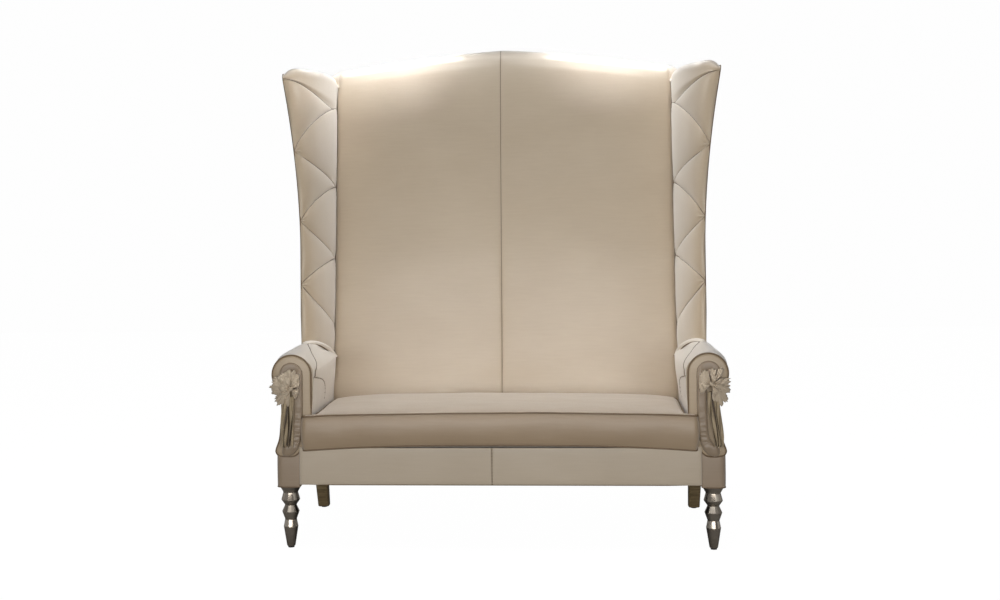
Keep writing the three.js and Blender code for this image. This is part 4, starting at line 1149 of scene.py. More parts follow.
def wall_seam_path():
    points = []
    for i in range(33):
        share = 0.0005 + i / 32 * 0.5
        z = min(wall_seam_z(share), WALL_TOP)
        s = INNER_SHARE * (z - ARM_LOW) / (WALL_TOP - ARM_LOW)
        points.append(arm_point(share, min(s, INNER_SHARE * 0.999), 0.5 * MM))
    return points


def cuff_path(out, up):
    """Where the wing's foot stands on the roll, moved out from the wing and up."""
    points = []
    for i in range(41):
        foot = wing_point(i / 40, WING_BASE, out)
        foot.z = roll_height(foot.x, foot.y) + up
        foot.x += 1 * MM * math.sin(i / 40 * math.pi / 2)
        points.append(foot)
    return points


for name, side in SIDES:
    arm = ring_skin([mirrored(arm_ring(share), side) for share in bunched(56)])
    seams = [mirrored(roll_seam_path(), side), mirrored(wall_seam_path(), side)]
    mark_seams(arm, seams, 4.5 * MM)
    for path in seams:
        join(arm, cord(path, 1.5 * MM, 6), 2)
    join(arm, cord(mirrored(cuff_path(9 * MM, 4 * MM), side), 9 * MM, 14), 3)
    join(arm, cord(mirrored(cuff_path(1.5 * MM, 12 * MM), side), 2.2 * MM, 6), 1)
    join(arm, cord(mirrored(cuff_path(18 * MM, 0.8 * MM), side), 2 * MM, 6), 1)
    make_piece(f"{name}_arm_cover", arm, (ivory, piping, seam_cord, bead),
               (f"{name}_arm_pad",))


# %% Facings with their welts
def facing_outline(grow=0.0):
    """The facing's edge from the inner foot over the scroll to the apron and back."""
    points = [(ARM_INNER - grow, lerp(DECK_TOP + 0.4 * MM, SCROLL_Z - 10 * MM, i / 16))
              for i in range(17)]
    r = SCROLL_R + grow
    end = -math.asin((SCROLL_Z - ARM_UNDER) * 0.95 / SCROLL_R)
    for i in range(45):
        angle = lerp(math.pi * 0.99, end, i / 44)
        points.append((SCROLL_X + r * math.cos(angle), SCROLL_Z + r * math.sin(angle)))
    waist = ((WAIST + 8 * MM, ARM_UNDER - 8 * MM), (WAIST, ARM_UNDER - 28 * MM),
             (WAIST, 0.500), (WAIST + 0.5 * MM, 0.46), (WAIST + 4 * MM, 0.425),
             (WAIST + 9 * MM, 0.380), (BASE - 0.6 * MM, 0.343), (BASE - 2 * MM, 0.331),
             (BASE - 9 * MM, 0.3235), (0.735, 0.3200), (0.711, 0.3195), (0.695, 0.3225),
             (0.683, 0.3310), (0.672, 0.3430), (0.662, 0.3535))
    low = smooth_line([Vector((x + grow * 0.5, 0, z)) for x, z in waist], 5)
    points += [(p.x, p.z) for p in low]
    return points


def inset_line(points, distance):
    """A closed line moved inwards by an even distance."""
    moved = []
    count = len(points)
    for i in range(count):
        a, b, c = (Vector(points[(i + k) % count]) for k in (-1, 0, 1))
        d1, d2 = (b - a), (c - b)
        if d1.length < 1e-7 or d2.length < 1e-7:
            d1 = d2 = (c - a)
        d1.normalize()
        d2.normalize()
        normal = Vector((d1.y + d2.y, -d1.x - d2.x))
        normal *= distance / max(0.6, 1 + d1.dot(d2))
        moved.append((b.x + normal.x, b.y + normal.y))
    return moved


def facing_rings():
    edge = facing_outline()
    layers = ((0, 8 * MM), (0, 3 * MM), (0.4 * MM, 1.4 * MM), (1.6 * MM, 0.2 * MM),
              (4 * MM, -0.9 * MM), (8 * MM, -1.8 * MM))
    return [[(x, FRONT + depth, z) for x, z in inset_line(edge, inset)]
            for inset, depth in layers]


def facing_welt():
    line = facing_outline(0.6 * MM)
    return [Vector((x, FRONT + 1.4 * MM, z)) for x, z in line]


for name, side in SIDES:
    facing = ring_skin([mirrored([Vector(p) for p in ring], side)
                        for ring in facing_rings()])
    join(facing, cord(mirrored(facing_welt(), side), 3.0 * MM), 1)
    make_piece(f"{name}_facing", facing, (facing_leather, piping),
               (f"{name}_arm_facing",))


# %% [markdown]
# ## The gathered strip
# A narrow padded band hooks round the scroll's button, runs down the facing and ends
# in a rounded tongue over the corner. It is a sweep along a smooth line. The hide is
# drawn up towards the end, so the lower part lies in small cross folds.

# %% Strips and buttons
HOOK_X, HOOK_Z, HOOK_R = 0.7055, 0.6005, 0.0235


def strip_line():
    hook = [Vector((HOOK_X + HOOK_R * math.cos(a), 0, HOOK_Z + HOOK_R * math.sin(a)))
            for a in (-0.35, 0.1, 0.6, 1.1, 1.6, 2.1, 2.6, 3.1)]
    down = [Vector((x, 0, z)) for x, z in (
        (.6815, .575), (.6815, .540), (.6815, .500), (.6825, .460), (.6838, .428),
        (.6862, .400), (.6905, .377), (.6985, .3575), (.7105, .3455), (.7245, .341),
        (.7375, .3425))]
    return smooth_line(hook + down, 14)


# height, tilt and depth of each crease across the strip's lower part
CREASES = ((0.4200, 1.5, 0.8), (0.4035, -1, 2.4), (0.3880, 2, 1.4), (0.3700, 3, 2.6),
           (0.4460, 2, 0.6), (0.4700, -2, 0.5), (0.5150, 2, 0.4))


STRIP_HALF, STRIP_THICK = 15 * MM, 13.5 * MM


def strip_rings():
    line = strip_line()
    rings = []
    total = len(line) - 1
    for i, (point, ahead) in enumerate(zip(line, along(line))):
        share = i / total
        across = Vector((ahead.z, 0, -ahead.x))
        tip = max(0.0, (share - 0.93) / 0.07)
        half = STRIP_HALF * (1 + 0.32 * ease(min(1.0, max(0.0, (share - 0.74) / 0.2))))
        half *= math.sqrt(max(0.0, 1 - tip**2.4)) if tip < 1 else 0.0
        half = max(half, 0.6 * MM)
        thick = STRIP_THICK * (0.35 + 0.65 * math.sqrt(max(0.0, 1 - tip**2.2)))
        thick *= 0.45 + 0.55 * ease((share - 0.25) / 0.2)
        low = ease((share - 0.45) / 0.15)
        ring = []
        for k in range(20):
            a = 2 * math.pi * k / 20
            side_way = math.copysign(abs(math.cos(a)) ** 0.62, math.cos(a))
            out = math.copysign(abs(math.sin(a)) ** 0.75, math.sin(a))
            height = point.z + across.z * half * side_way + 5 * MM * side_way**2
            fold = 1.6 * MM * low * noise.noise(Vector((side_way * 0.5, height * 95, 3)))
            for crease, slant, deep in CREASES:
                gap = (height - crease - slant * MM * side_way) / (2.4 * MM)
                fold -= deep * MM * math.exp(-gap**2)
            y = FRONT - 1.0 * MM - (thick / 2) * (1 + out) - fold * max(0.0, out)
            ring.append(point + across * (half * side_way) + Vector((0, y, 0)))
        rings.append(ring)
    return rings


def button(x, z, radius, rear, depth):
    rings = []
    for r, d in ((1, 0), (1, .35), (.93, .62), (.8, .82), (.6, .93), (.35, .99), (.1, 1)):
        rings.append([Vector((x + radius * r * math.cos(2 * math.pi * k / 28),
                              rear - depth * d,
                              z + radius * r * math.sin(2 * math.pi * k / 28)))
                      for k in range(28)])
    return ring_skin(rings)


for name, side in SIDES:
    rings = strip_rings()
    strip = ring_skin([mirrored(ring, side) for ring in rings])
    # Painted shadow: dark cords along both edges of the strip stand for the shadow line where
    # the strip lies on the facing.
    for k in (0, 10):
        edge = [ring[k] + Vector((0, 1.5 * MM, 0)) for ring in rings[2:-2]]
        join(strip, cord(mirrored(edge[::2], side), 1.3 * MM, 6), 1)
    join(strip, button(side * 0.7125, 0.5975, 15.5 * MM, FRONT - 1 * MM, 12 * MM), 0)
    make_piece(f"{name}_gathered_strip", strip, (strip_leather_painted_shade, piping),
               (f"{name}_arm_strip",))

# %% [markdown]
# ## Base covers
# The front rail's cover has a seam a little left of the middle and wraps under the
# rail. Each corner is a separate pad, rounded round the block. The outside covers are
# flat hides over card, stapled at their edges and closed with a welt.

# %% Front rail and corners
RAIL_FRONT = FRONT - 8 * MM
RAIL_SEAM = -22 * MM


def rail_outline(x):
    low, high = RAIL_BOTTOM, DECK_TOP
    rear = RAIL_FRONT + 11.7 * MM
    seam = 2.6 * MM * math.exp(-((x - RAIL_SEAM) / (2.6 * MM)) ** 2)
    end = max(0.0, (abs(x) - CORNER + 7 * MM) / (7 * MM))
    ring = [Vector((x, rear, low)), Vector((x, rear - 3 * MM, low - 0.4 * MM))]
    for i in range(33):
        t = i / 32
        puff = 3.4 * MM * swell(t, 0.28)
        wave = uneven((x, 0, t * 0.13), 0.1, 1.1 * MM) * swell(t, 0.5)
        y = RAIL_FRONT + 3.2 * MM - puff + seam + 3.2 * MM * end**2.2 + wave
        ring.append(Vector((x, y, lerp(low, high, t))))
    ring.append(Vector((x, rear, high)))
    return ring


def rail_columns():
    xs = [lerp(-CORNER, CORNER, i / 90) for i in range(91)]
    xs += [RAIL_SEAM + d * MM for d in (-5, -3.2, -2, -1, 0, 1, 2, 3.2, 5)]
    xs += [s * (CORNER - d * MM) for s in (-1, 1) for d in (1, 2.5, 4.5)]
    return sorted(xs)


rail = ring_skin([rail_outline(x) for x in rail_columns()])
rail_seam = [Vector((RAIL_SEAM, RAIL_FRONT + 2.4 * MM, lerp(RAIL_BOTTOM, DECK_TOP, i / 20)))
             for i in range(21)]
mark_seams(rail, [rail_seam], 3 * MM)
join(rail, cord(rail_seam, 0.9 * MM, 6), 2)
foot_line = [Vector((lerp(-CORNER, CORNER, i / 60), RAIL_FRONT + 4.5 * MM,
                     RAIL_BOTTOM + 0.5 * MM)) for i in range(61)]
join(rail, cord(foot_line, 2.4 * MM), 1)
make_piece("rail_cover", rail, (ivory, piping, seam_cord),
           ("front_rail_cover",))


def corner_outline(z, grow):
    """A corner cover in plan, for the right corner."""
    front, rear = FRONT + 4 * MM, FRONT + 80.3 * MM
    inner, outer, radius, wall = CORNER + 0.6 * MM, BASE, 20 * MM, 8 * MM
    points = [(lerp(inner, outer - radius, i / 10), front - grow * swell(i / 13 + 0.02, 0.4))
              for i in range(11)]
    for i in range(1, 13):
        a = math.pi / 2 * i / 12
        points.append((outer - radius * (1 - math.sin(a)) + grow * math.sin(a) * 0.5,
                       front + radius * (1 - math.cos(a)) - grow * math.cos(a) * 0.6))
    points += [(outer + grow * 0.5 * (1 - i / 6), lerp(front + radius, rear, i / 6))
               for i in range(1, 7)]
    points += [(outer - wall, rear), (outer - wall, front + wall), (inner, front + wall)]
    return [Vector((x, y, z)) for x, y in points]


def corner_rings():
    return [corner_outline(lerp(BLOCK_BOTTOM, BLOCK_TOP, t),
                           3.0 * MM * swell(t, 0.3) - 1.2 * MM) for t in bunched(26)]


for name, side in SIDES:
    rings = corner_rings()
    corner = ring_skin([mirrored(ring, side) for ring in rings])
    join(corner, cord(mirrored(rings[0][:29], side), 2.2 * MM), 1)
    edge = [ring[0] + Vector((-0.2 * MM, 0, 0)) for ring in rings]
    join(corner, cord(mirrored(edge, side), 1.2 * MM, 6), 2)
    make_piece(f"{name}_corner_pad", corner, (base_leather_painted_shade, piping, seam_cord),
               (f"{name}_corner_cover",))


# %% Outside covers
def drawn_skin(outline, steps, side=1):
    """A skin over outlines at even shares, mirrored where side is -1."""
    return ring_skin([mirrored(outline(i / steps), side) for i in range(steps + 1)])


def outside_arm_x(z):
    """Half width of the outside arm at a height."""
    share = (z - ARM_LOW) / (ARM_UNDER - ARM_LOW)
    if share > 0.7:
        return WAIST + 0.44 * MM * (1 - share) / 0.3
    if share > 0.48:
        return WAIST + lerp(1.54 * MM, 0.44 * MM, (share - 0.48) / 0.22)
    return WAIST + lerp(22 * MM, 1.54 * MM, ease(share / 0.48) ** 0.8)


def outside_arm_ring(share):
    ring = []
    for i in range(25):
        z = lerp(ARM_LOW, ARM_UNDER - 0.3 * MM, i / 24)
        crown = 1.5 * MM * swell(i / 24, 0.5) * swell(share, 0.4)
        y = lerp(ARM_FRONT, back_y(z) + POST_REAR, share)
        ring.append(Vector((outside_arm_x(z) + crown, y, z)))
    for i in range(24, -1, -6):
        z = lerp(ARM_LOW, ARM_UNDER - 0.3 * MM, i / 24)
        ring.append(Vector((outside_arm_x(z) - 6 * MM,
                            lerp(ARM_FRONT, back_y(z) + POST_REAR, share), z)))
    return ring


def rear_end_ring(share, inset):
    """The roll's end behind the back's face, outside the post."""
    radius = SCROLL_REAR_R - inset
    centre = SCROLL_X + SCROLL_R - SCROLL_REAR_R
    inner = wing_outer_x(WING_BASE) - WING_BOARD + 0.3 * MM
    start = math.acos(min(1.0, (inner + inset - centre) / radius))
    end = -math.asin(min(0.99, (SCROLL_Z - ARM_UNDER) * 0.95 / radius))
    points = [(inner + inset, ARM_UNDER + inset)]
    points += [(centre + radius * math.cos(lerp(start, end, i / 24)),
                SCROLL_Z + radius * math.sin(lerp(start, end, i / 24))) for i in range(25)]
    points.append((WAIST + 0.3 * MM, ARM_UNDER + inset))
    return [Vector((x, back_y(z) + POST_REAR * share, z)) for x, z in points]


def outside_wing_ring(share):
    z = lerp(WING_BASE, CORNER_TOP - 2 * MM, share)
    out = wing_outer_x(z)
    cosine = WING_BOARD / (out - WING_INNER)
    front = lerp(back_y(z), wing_front_y(z), math.sqrt(1 - cosine**2)) + 14 * MM
    rear = back_y(z) + POST_REAR
    ring = [Vector((out - 0.6 * MM + 2.2 * MM * swell(i / 24, 0.4) * swell(share, 0.4),
                    lerp(front, rear, i / 24), z)) for i in range(25)]
    return ring + [Vector((out - 6 * MM, rear, z)), Vector((out - 6 * MM, front, z))]


def side_rail_ring(share):
    y_front = FRONT + 80.6 * MM
    ring = []
    for i in range(9):
        z = lerp(RAIL_BOTTOM, BLOCK_TOP, i / 8)
        y = lerp(y_front, back_y(z) + POST_REAR, share)
        x = BASE + 1.2 * MM * swell(i / 8, 0.4) * swell(share, 0.4)
        ring.append(Vector((x, y, z)))
    for z in (BLOCK_TOP, RAIL_BOTTOM):
        ring.append(Vector((BASE - 8 * MM, lerp(y_front, back_y(z) + POST_REAR, share), z)))
    return ring


for name, side in SIDES:
    cover = drawn_skin(outside_arm_ring, 30, side)
    make_piece(f"{name}_outside_arm_cover", cover, (ivory,),
               (f"{name}_outside_arm",))
    layers = [(0, 0), (0.3, 0), (0.6, 0), (0.9, 0), (0.95, 0.8 * MM), (0.985, 3 * MM),
              (1.0, 7 * MM), (1.01, 14 * MM)]
    end = ring_skin([mirrored(rear_end_ring(s, inset), side) for s, inset in layers])
    join(end, cord(mirrored(rear_end_ring(0.965, 0.3 * MM)[1:26], side), 2.4 * MM), 1)
    make_piece(f"{name}_arm_end", end, (ivory, piping),
               (f"{name}_arm_rear_end",))
    cover = drawn_skin(outside_wing_ring, 40, side)
    make_piece(f"{name}_outside_wing_cover", cover, (ivory,),
               (f"{name}_outside_wing",))
    cover = drawn_skin(side_rail_ring, 24, side)
    foot_line = [side_rail_ring(i / 24)[0] + Vector((-2 * MM, 0, 0.5 * MM))
                 for i in range(25)]
    join(cover, cord(mirrored(foot_line, side), 2.4 * MM), 1)
    make_piece(f"{name}_side_cover", cover, (ivory, piping),
               (f"{name}_side_rail_cover",))


def outside_half(z):
    """Half width of the outside back at a height."""
    if z < ARM_LOW:
        return BASE
    if z < ARM_UNDER:
        return outside_arm_x(z)
    if z < WING_BASE:
        return WAIST + 3 * MM * (z - ARM_UNDER) / (WING_BASE - ARM_UNDER)
    return wing_outer_x(z)


def outside_back_point(across, up):
    body = min(1.0, up / 0.9)
    z = lerp(RAIL_BOTTOM, BOARD_TOP, body)
    x = (2 * across - 1) * outside_half(z)
    if up > 0.9 and abs(x) < BACK_HALF:
        top = camel_z(x) - CAP - 0.5 * MM
        z = lerp(BOARD_TOP, max(BOARD_TOP, top), (up - 0.9) / 0.1)
    edge = swell(min(1.0, max(0.0, across)), 0.3) * swell(min(1.0, up * 0.5 + 0.001), 0.4)
    crown = 3 * MM * edge + uneven((x, 0, z), 0.25, 1.2 * MM) * edge
    return Vector((x, back_y(z) + BACK_THICK - 1.5 * MM + crown, z))


behind = patch(80, 100, outside_back_point)
rim = [outside_back_point(0, i / 90) for i in range(82)]
rim += [outside_back_point(i / 60, 1.0) for i in range(1, 60)]
rim += [outside_back_point(1, 0.9 - i / 90) for i in range(82)]
join(behind, cord([p + Vector((0, -1 * MM, 0)) for p in rim], 2.6 * MM), 1)
make_piece("outside_back_cover", behind, (ivory, piping), ("outside_back",),
           outwards=(0, 1, 0), wall=4 * MM)

# %% [markdown]
# ## The deck and the loose cushion
# The deck is a flat pad under the cushion. The cushion is a long T: a top and a bottom
# panel joined by a border, with a welt in each seam. Its filling stands highest in the
# middle, is held down along the welts and pushes the border out between them, so its
# points are placed by how far they are from the nearest edge.

# %% Seat deck
deck_half = ARM_INNER - 0.3 * MM
deck_front = RAIL_FRONT + 12 * MM


def deck_ring(share):
    z_low, z_high = DECK_TOP - 25 * MM, DECK_TOP
    rear = back_y(z_low) + PAD_DEPTH
    y = lerp(deck_front, rear, share)
    ring = [Vector((-deck_half, y, z_low)), Vector((deck_half, y, z_low))]
    for i in range(49):
        a = i / 48
        drop = 1.2 * MM * (1 - swell(a, 0.15) * swell(share, 0.15))
        quilt = 0.5 * MM * abs(math.sin(math.pi * a * 9)) ** 0.3
        ring.append(Vector((lerp(deck_half, -deck_half, a), y,
                            z_high - drop - 0.6 * MM + quilt)))
    return ring


deck = drawn_skin(deck_ring, 20)
make_piece("seat_platform", deck, (base_leather_painted_shade,), ("seat_deck",))


# %% The cushion's plan
CUSHION_LOW = DECK_TOP + 0.3 * MM
CUSHION_HIGH = CUSHION_LOW + 114 * MM
CUSHION_FRONT = FRONT - 27 * MM
CUSHION_REAR = back_y(CUSHION_HIGH) - 24 * MM
BODY_HALF = ARM_INNER - 12 * MM
EAR_HALF = BODY_HALF + 39 * MM
EAR_REAR = FRONT - 4 * MM
CROWN = 22 * MM
DOME = 4 * MM
COLUMN_STEPS = 132
SEAT_FALL = 20 * MM  # the seat slopes to the back
SEAT_ARCH = 12 * MM  # and stands a little higher in the middle


def cushion_half(y):
    """Half width of the T at a depth: wide in front of the arms, then between them."""
    body = BODY_HALF + ARM_SPLAY * ease(
        min(1.0, max(0.0, (y - EAR_REAR) / (CUSHION_REAR - EAR_REAR))))
    share = ease(min(1.0, max(0.0, (y - EAR_REAR + 6 * MM) / (6 * MM))))
    half = lerp(EAR_HALF, body, share)
    for edge, radius in ((CUSHION_FRONT, 13 * MM), (CUSHION_REAR, 24 * MM)):
        near = abs(y - edge)
        if near < radius:
            half -= radius - math.sqrt(max(0.0, radius**2 - (radius - near) ** 2))
    return half


def seat_share(y):
    return (y - CUSHION_FRONT) / (CUSHION_REAR - CUSHION_FRONT)


def crown_at(x, y):
    near = 1.0
    for gap, reach in ((y - CUSHION_FRONT, 95 * MM), (CUSHION_REAR - y, 40 * MM),
                       (cushion_half(y) - abs(x), 46 * MM)):
        near *= 1 - math.exp(-max(0.0, gap) / reach)
    wave = uneven((x, y, 2), 0.21, 3.2 * MM) + uneven((x, y, 7), 0.09, 1.2 * MM)
    dome = math.sin(math.pi * min(1.0, max(0.0, seat_share(y) * 0.96 + 0.02)))
    front = 7 * MM * (1 - math.exp(-max(0.0, y - CUSHION_FRONT) / (20 * MM)))
    ends = ease((cushion_half(y) - abs(x)) / (14 * MM))
    rear = ease((CUSHION_REAR - y) / (30 * MM))
    return CROWN * near * 0.6 + (DOME * dome + wave) * near + front * ends * rear


def arch_at(x):
    return SEAT_ARCH * max(0.0, 1 - (x / EAR_HALF) ** 2) - 8 * MM


def edge_wave(x, y):
    """The upper welt falls to the back, arches over the width and runs a little wavy."""
    wavy = uneven((x, y, 11), 0.16, 2.2 * MM) + uneven((x, y, 4), 0.05, 0.7 * MM)
    return wavy + arch_at(x) - SEAT_FALL * seat_share(y)


def lower_edge(x, y):
    """Along the front the lower welt lifts off the rail, and the ears sag past it."""
    lift = 6 * MM * ease(1 - (y - CUSHION_FRONT) / (70 * MM))
    sag = 13 * MM * abs(x / EAR_HALF) ** 3 * ease((RAIL_FRONT - 5 * MM - y) / (9 * MM))
    return lift * (1 - (x / EAR_HALF) ** 2) - sag


def tuck(y, t):
    """The ears' ends turn in at the bottom."""
    return 2.5 * MM * ease((t - 0.62) / 0.38) * ease((EAR_REAR + 2 * MM - y) / (4 * MM))


def cushion_rows():
    rows = [CUSHION_FRONT + d * MM for d in (0, 0.8, 2, 3.6, 6, 9, 13, 17)]
    rows += [EAR_REAR + d * MM for d in (-6.1, -5, -4, -3, -2, -1, 0, 2)]
    rows += [lerp(EAR_REAR + 6 * MM, CUSHION_REAR - 26 * MM, i / 54) for i in range(55)]
    rows += [CUSHION_REAR - d * MM for d in (24, 19, 14, 10, 6.5, 4, 2, 0.8, 0)]
    return sorted(rows)


def cushion_columns():
    """Shares of the half width, a little closer together at the ends."""
    even = [2 * i / COLUMN_STEPS - 1 for i in range(COLUMN_STEPS + 1)]
    return [math.sin(a * math.pi / 2) * 0.35 + a * 0.65 for a in even]


rows, columns = cushion_rows(), cushion_columns()


def cushion_top(across, along_y):
    i, j = round(across * (len(columns) - 1)), round(along_y * (len(rows) - 1))
    y = rows[j]
    x = columns[i] * cushion_half(y)
    return Vector((x, y, CUSHION_HIGH + edge_wave(x, y) + crown_at(x, y)))


def cushion_rim():
    """The top panel's edge, once round, and which way is out at each point."""
    last_i, last_j = len(columns) - 1, len(rows) - 1
    places = [(i, 0) for i in range(last_i)] + [(last_i, j) for j in range(last_j)]
    places += [(i, last_j) for i in range(last_i, 0, -1)]
    places += [(0, j) for j in range(last_j, 0, -1)]
    rim = [Vector((columns[i] * cushion_half(rows[j]), rows[j], 0)) for i, j in places]
    outs = []
    count = len(rim)
    for k in range(count):
        ahead = rim[(k + 2) % count] - rim[k - 2]
        outs.append(Vector((ahead.y, -ahead.x, 0)).normalized())
    return rim, outs


# shares of the border's height, from the upper welt down, for its outlines
BORDER_SHARES = (0, .02, .05, .1, .17, .26, .37, .5, .63, .74, .83, .9, .95, .98, 1)


def border_rings():
    rim, outs = cushion_rim()
    rings = []
    for t in BORDER_SHARES:
        ring = []
        for p, out in zip(rim, outs):
            wave = edge_wave(p.x, p.y)
            z = lerp(CUSHION_HIGH + wave, CUSHION_LOW + 3.2 * MM + lower_edge(p.x, p.y), t)
            bulge = 8 * MM * swell(t, 0.7) - 0.6 * MM
            bulge += uneven((p.x, p.y, z), 0.11, 1.8 * MM) * swell(t, 0.6)
            bulge += uneven((p.x * 3, p.y * 3, z), 0.06, 0.7 * MM) * swell(t, 0.6)
            if t in (0, 1):
                bulge = 0.0
            bulge -= tuck(p.y, t) * abs(out.x)
            ring.append(Vector((p.x, p.y, z)) + out * bulge)
        rings.append(ring)
    for inset, share in ((5 * MM, 0.9), (15.5 * MM, 0.0)):
        rings.append([Vector((p.x, p.y, CUSHION_LOW + share * lower_edge(p.x, p.y)))
                      - out * (inset + tuck(p.y, 1) * abs(out.x))
                      for p, out in zip(rim, outs)])
    return rings


def welt_line(height, lift):
    rim, outs = cushion_rim()
    high = height > CUSHION_LOW + 20 * MM
    points = []
    for p, out in zip(rim, outs):
        z = height + (edge_wave(p.x, p.y) if high else lower_edge(p.x, p.y))
        inset = 0.0 if high else tuck(p.y, 1) * abs(out.x)
        points.append(Vector((p.x, p.y, z + lift)) + out * (0.8 * MM - inset))
    start = len(points) // 2 + 40
    points = points[start:] + points[:start]
    kept = [points[0]]
    for p in points[1:]:
        if (p - kept[-1]).length > 5 * MM:
            kept.append(p)
    kept.append(kept[0] + (kept[1] - kept[0]) * 0.3)
    return kept


cushion = patch(len(columns) - 1, len(rows) - 1, cushion_top)
border = ring_skin(border_rings(), ends=False)
join(cushion, border)
bmesh.ops.remove_doubles(cushion, verts=cushion.verts, dist=MERGE)
bmesh.ops.holes_fill(cushion, edges=[e for e in cushion.edges if e.is_boundary], sides=0)
join(cushion, cord(welt_line(CUSHION_HIGH, 0.4 * MM), 2.9 * MM), 1)
join(cushion, cord(welt_line(CUSHION_LOW + 3.4 * MM, 0), 2.7 * MM), 1)
make_piece("loose_seat_cushion", cushion, (champagne, piping),
           ("seat_cushion",), body=LOOSE)

# %% [markdown]
# ## Rosettes and ribbon tails
# Each arm front carries a rosette of soft cloth: some fifteen ragged petals, pleated and
# drawn together at one point, with narrow ribbons hanging from the knot. A petal is a
# fan of cloth whose pleats grow from the knot to the frayed rim.

# %% Petals
# the knot's place on each arm front, as x on the right-hand side, y and z
GATHER = {"left": Vector((0.7010, FRONT - 22 * MM, 0.5540)),
          "right": Vector((0.7125, FRONT - 22 * MM, 0.5660))}


def petal(knot, number, turn, spread, length, rise, droop):
    """A fan of cloth; turn is its direction in degrees, seen from the front."""
    fan = bmesh.new()
    across, out = 36, 16
    bmesh.ops.create_grid(fan, x_segments=across, y_segments=out, size=0.5)
    shift = number * 3.7
    for v in fan.verts:
        a, t = v.co.x + 0.5, v.co.y + 0.5
        angle = math.radians(turn + spread * (2 * a - 1) * (0.3 + 0.7 * t**0.5)
                             + 9 * noise.noise(Vector((t * 1.6, shift, 9))))
        sides = swell(a, 0.25)
        ragged = 1 + 0.2 * noise.noise(Vector((a * 4, shift, 0))) * t \
            + 0.12 * noise.noise(Vector((a * 15, shift, 3))) * t**4
        reach = length * t * ragged * (0.62 + 0.38 * sides)
        wave = math.sin(2.4 * math.pi * a + shift) * 3.5 * MM * t**0.7 * (1.15 - t)
        wave += 9 * MM * noise.noise(Vector((a * 1.9, t * 1.5, shift))) * t
        wave += 2.6 * MM * noise.noise(Vector((a * 5, t * 3, shift + 2))) * t
        y = knot.y - rise * math.sin(math.pi * min(1.0, t * 0.8)) + droop * t**2 + wave
        v.co = Vector((knot.x + reach * math.cos(angle), min(y, FRONT - 5 * MM),
                       knot.z + reach * math.sin(angle)))
    return fan


# turn, spread, length, rise and droop of each petal
PETALS = {
    "right": ((-2, 18, 62, 10, 8), (-30, 24, 65, 14, 10), (-55, 21, 74, 10, 10),
              (-76, 15, 60, 8, 8), (50, 11, 62, 10, 6), (26, 14, 46, 14, 8),
              (174, 32, 58, 9, 5), (146, 28, 50, 7, 6), (206, 24, 52, 12, 5),
              (116, 15, 46, 6, 5), (84, 14, 50, 9, 5), (-22, 24, 40, 20, 4),
              (188, 28, 36, 17, 4), (-66, 22, 46, 19, 5), (70, 26, 30, 19, 4)),
    "left": ((75, 24, 62, 9, 8), (100, 22, 58, 11, 7), (122, 20, 60, 8, 6),
             (146, 20, 52, 11, 6), (236, 18, 38, 10, 5), (204, 24, 36, 13, 5),
             (30, 24, 68, 9, 8), (8, 20, 72, 12, 8), (-18, 20, 68, 9, 8),
             (-45, 17, 72, 12, 9), (-70, 14, 64, 9, 8), (52, 20, 62, 12, 8),
             (64, 30, 42, 19, 5), (12, 30, 44, 20, 5), (-36, 26, 42, 18, 5),
             (128, 28, 38, 18, 5)),
}
CLEAR_X, CLEAR_SOFT = 668.5 * MM, 20 * MM  # the petals stay clear of the cushion's ear


def rosette_cloth(name, side):
    cloth = bmesh.new()
    for number, (turn, spread, length, rise, droop) in enumerate(PETALS[name]):
        join(cloth, petal(GATHER[name], number + (20 if side < 0 else 0), turn, spread,
                          length * MM, rise * MM, droop * MM))
    for v in cloth.verts:
        if v.co.x < CLEAR_X + CLEAR_SOFT:
            over = (CLEAR_X + CLEAR_SOFT - v.co.x) / CLEAR_SOFT
            v.co.x = CLEAR_X + CLEAR_SOFT * math.exp(-over)
        v.co.x *= side
    return cloth


def knot_lump(knot, side, dx, dz, r):
    rings = []
    for i in range(1, 8):
        a = math.pi * i / 8
        ring = []
        for n in range(18):
            b = 2 * math.pi * n / 18
            wide = math.cos(b + 0.25 * math.sin(3 * b))
            ring.append(Vector((side * (knot.x + (dx + r * math.sin(a) * wide) * MM),
                                knot.y - 9 * MM - r * math.cos(a) * 0.7 * MM,
                                knot.z + (dz + r * math.sin(a) * math.sin(b)) * MM)))
        rings.append(ring)
    return ring_skin(rings)


for name, side in SIDES:
    cloth = rosette_cloth(name, side)
    area = sum(face.calc_area() for face in cloth.faces)
    rosette = make_piece(f"{name}_rosette_petals", cloth, (petal_cloth,),
                         (f"{name}_rosette",), outwards=(0, -1, 0), wall=0.7 * MM)
    width = 1.25 * area / (50 * MM)
    print(f"petals of the {name} rosette: {area:.4f} m2 of cloth, cut {width:.3f} m wide")
    knot = bmesh.new()
    for dx, dz, r in ((0, 0, 6.5), (-4, 3, 4.5), (4.5, -2.5, 4.8)):
        join(knot, knot_lump(GATHER[name], side, dx, dz, r))
    make_piece(f"{name}_rosette_knot", knot, (petal_cloth,))


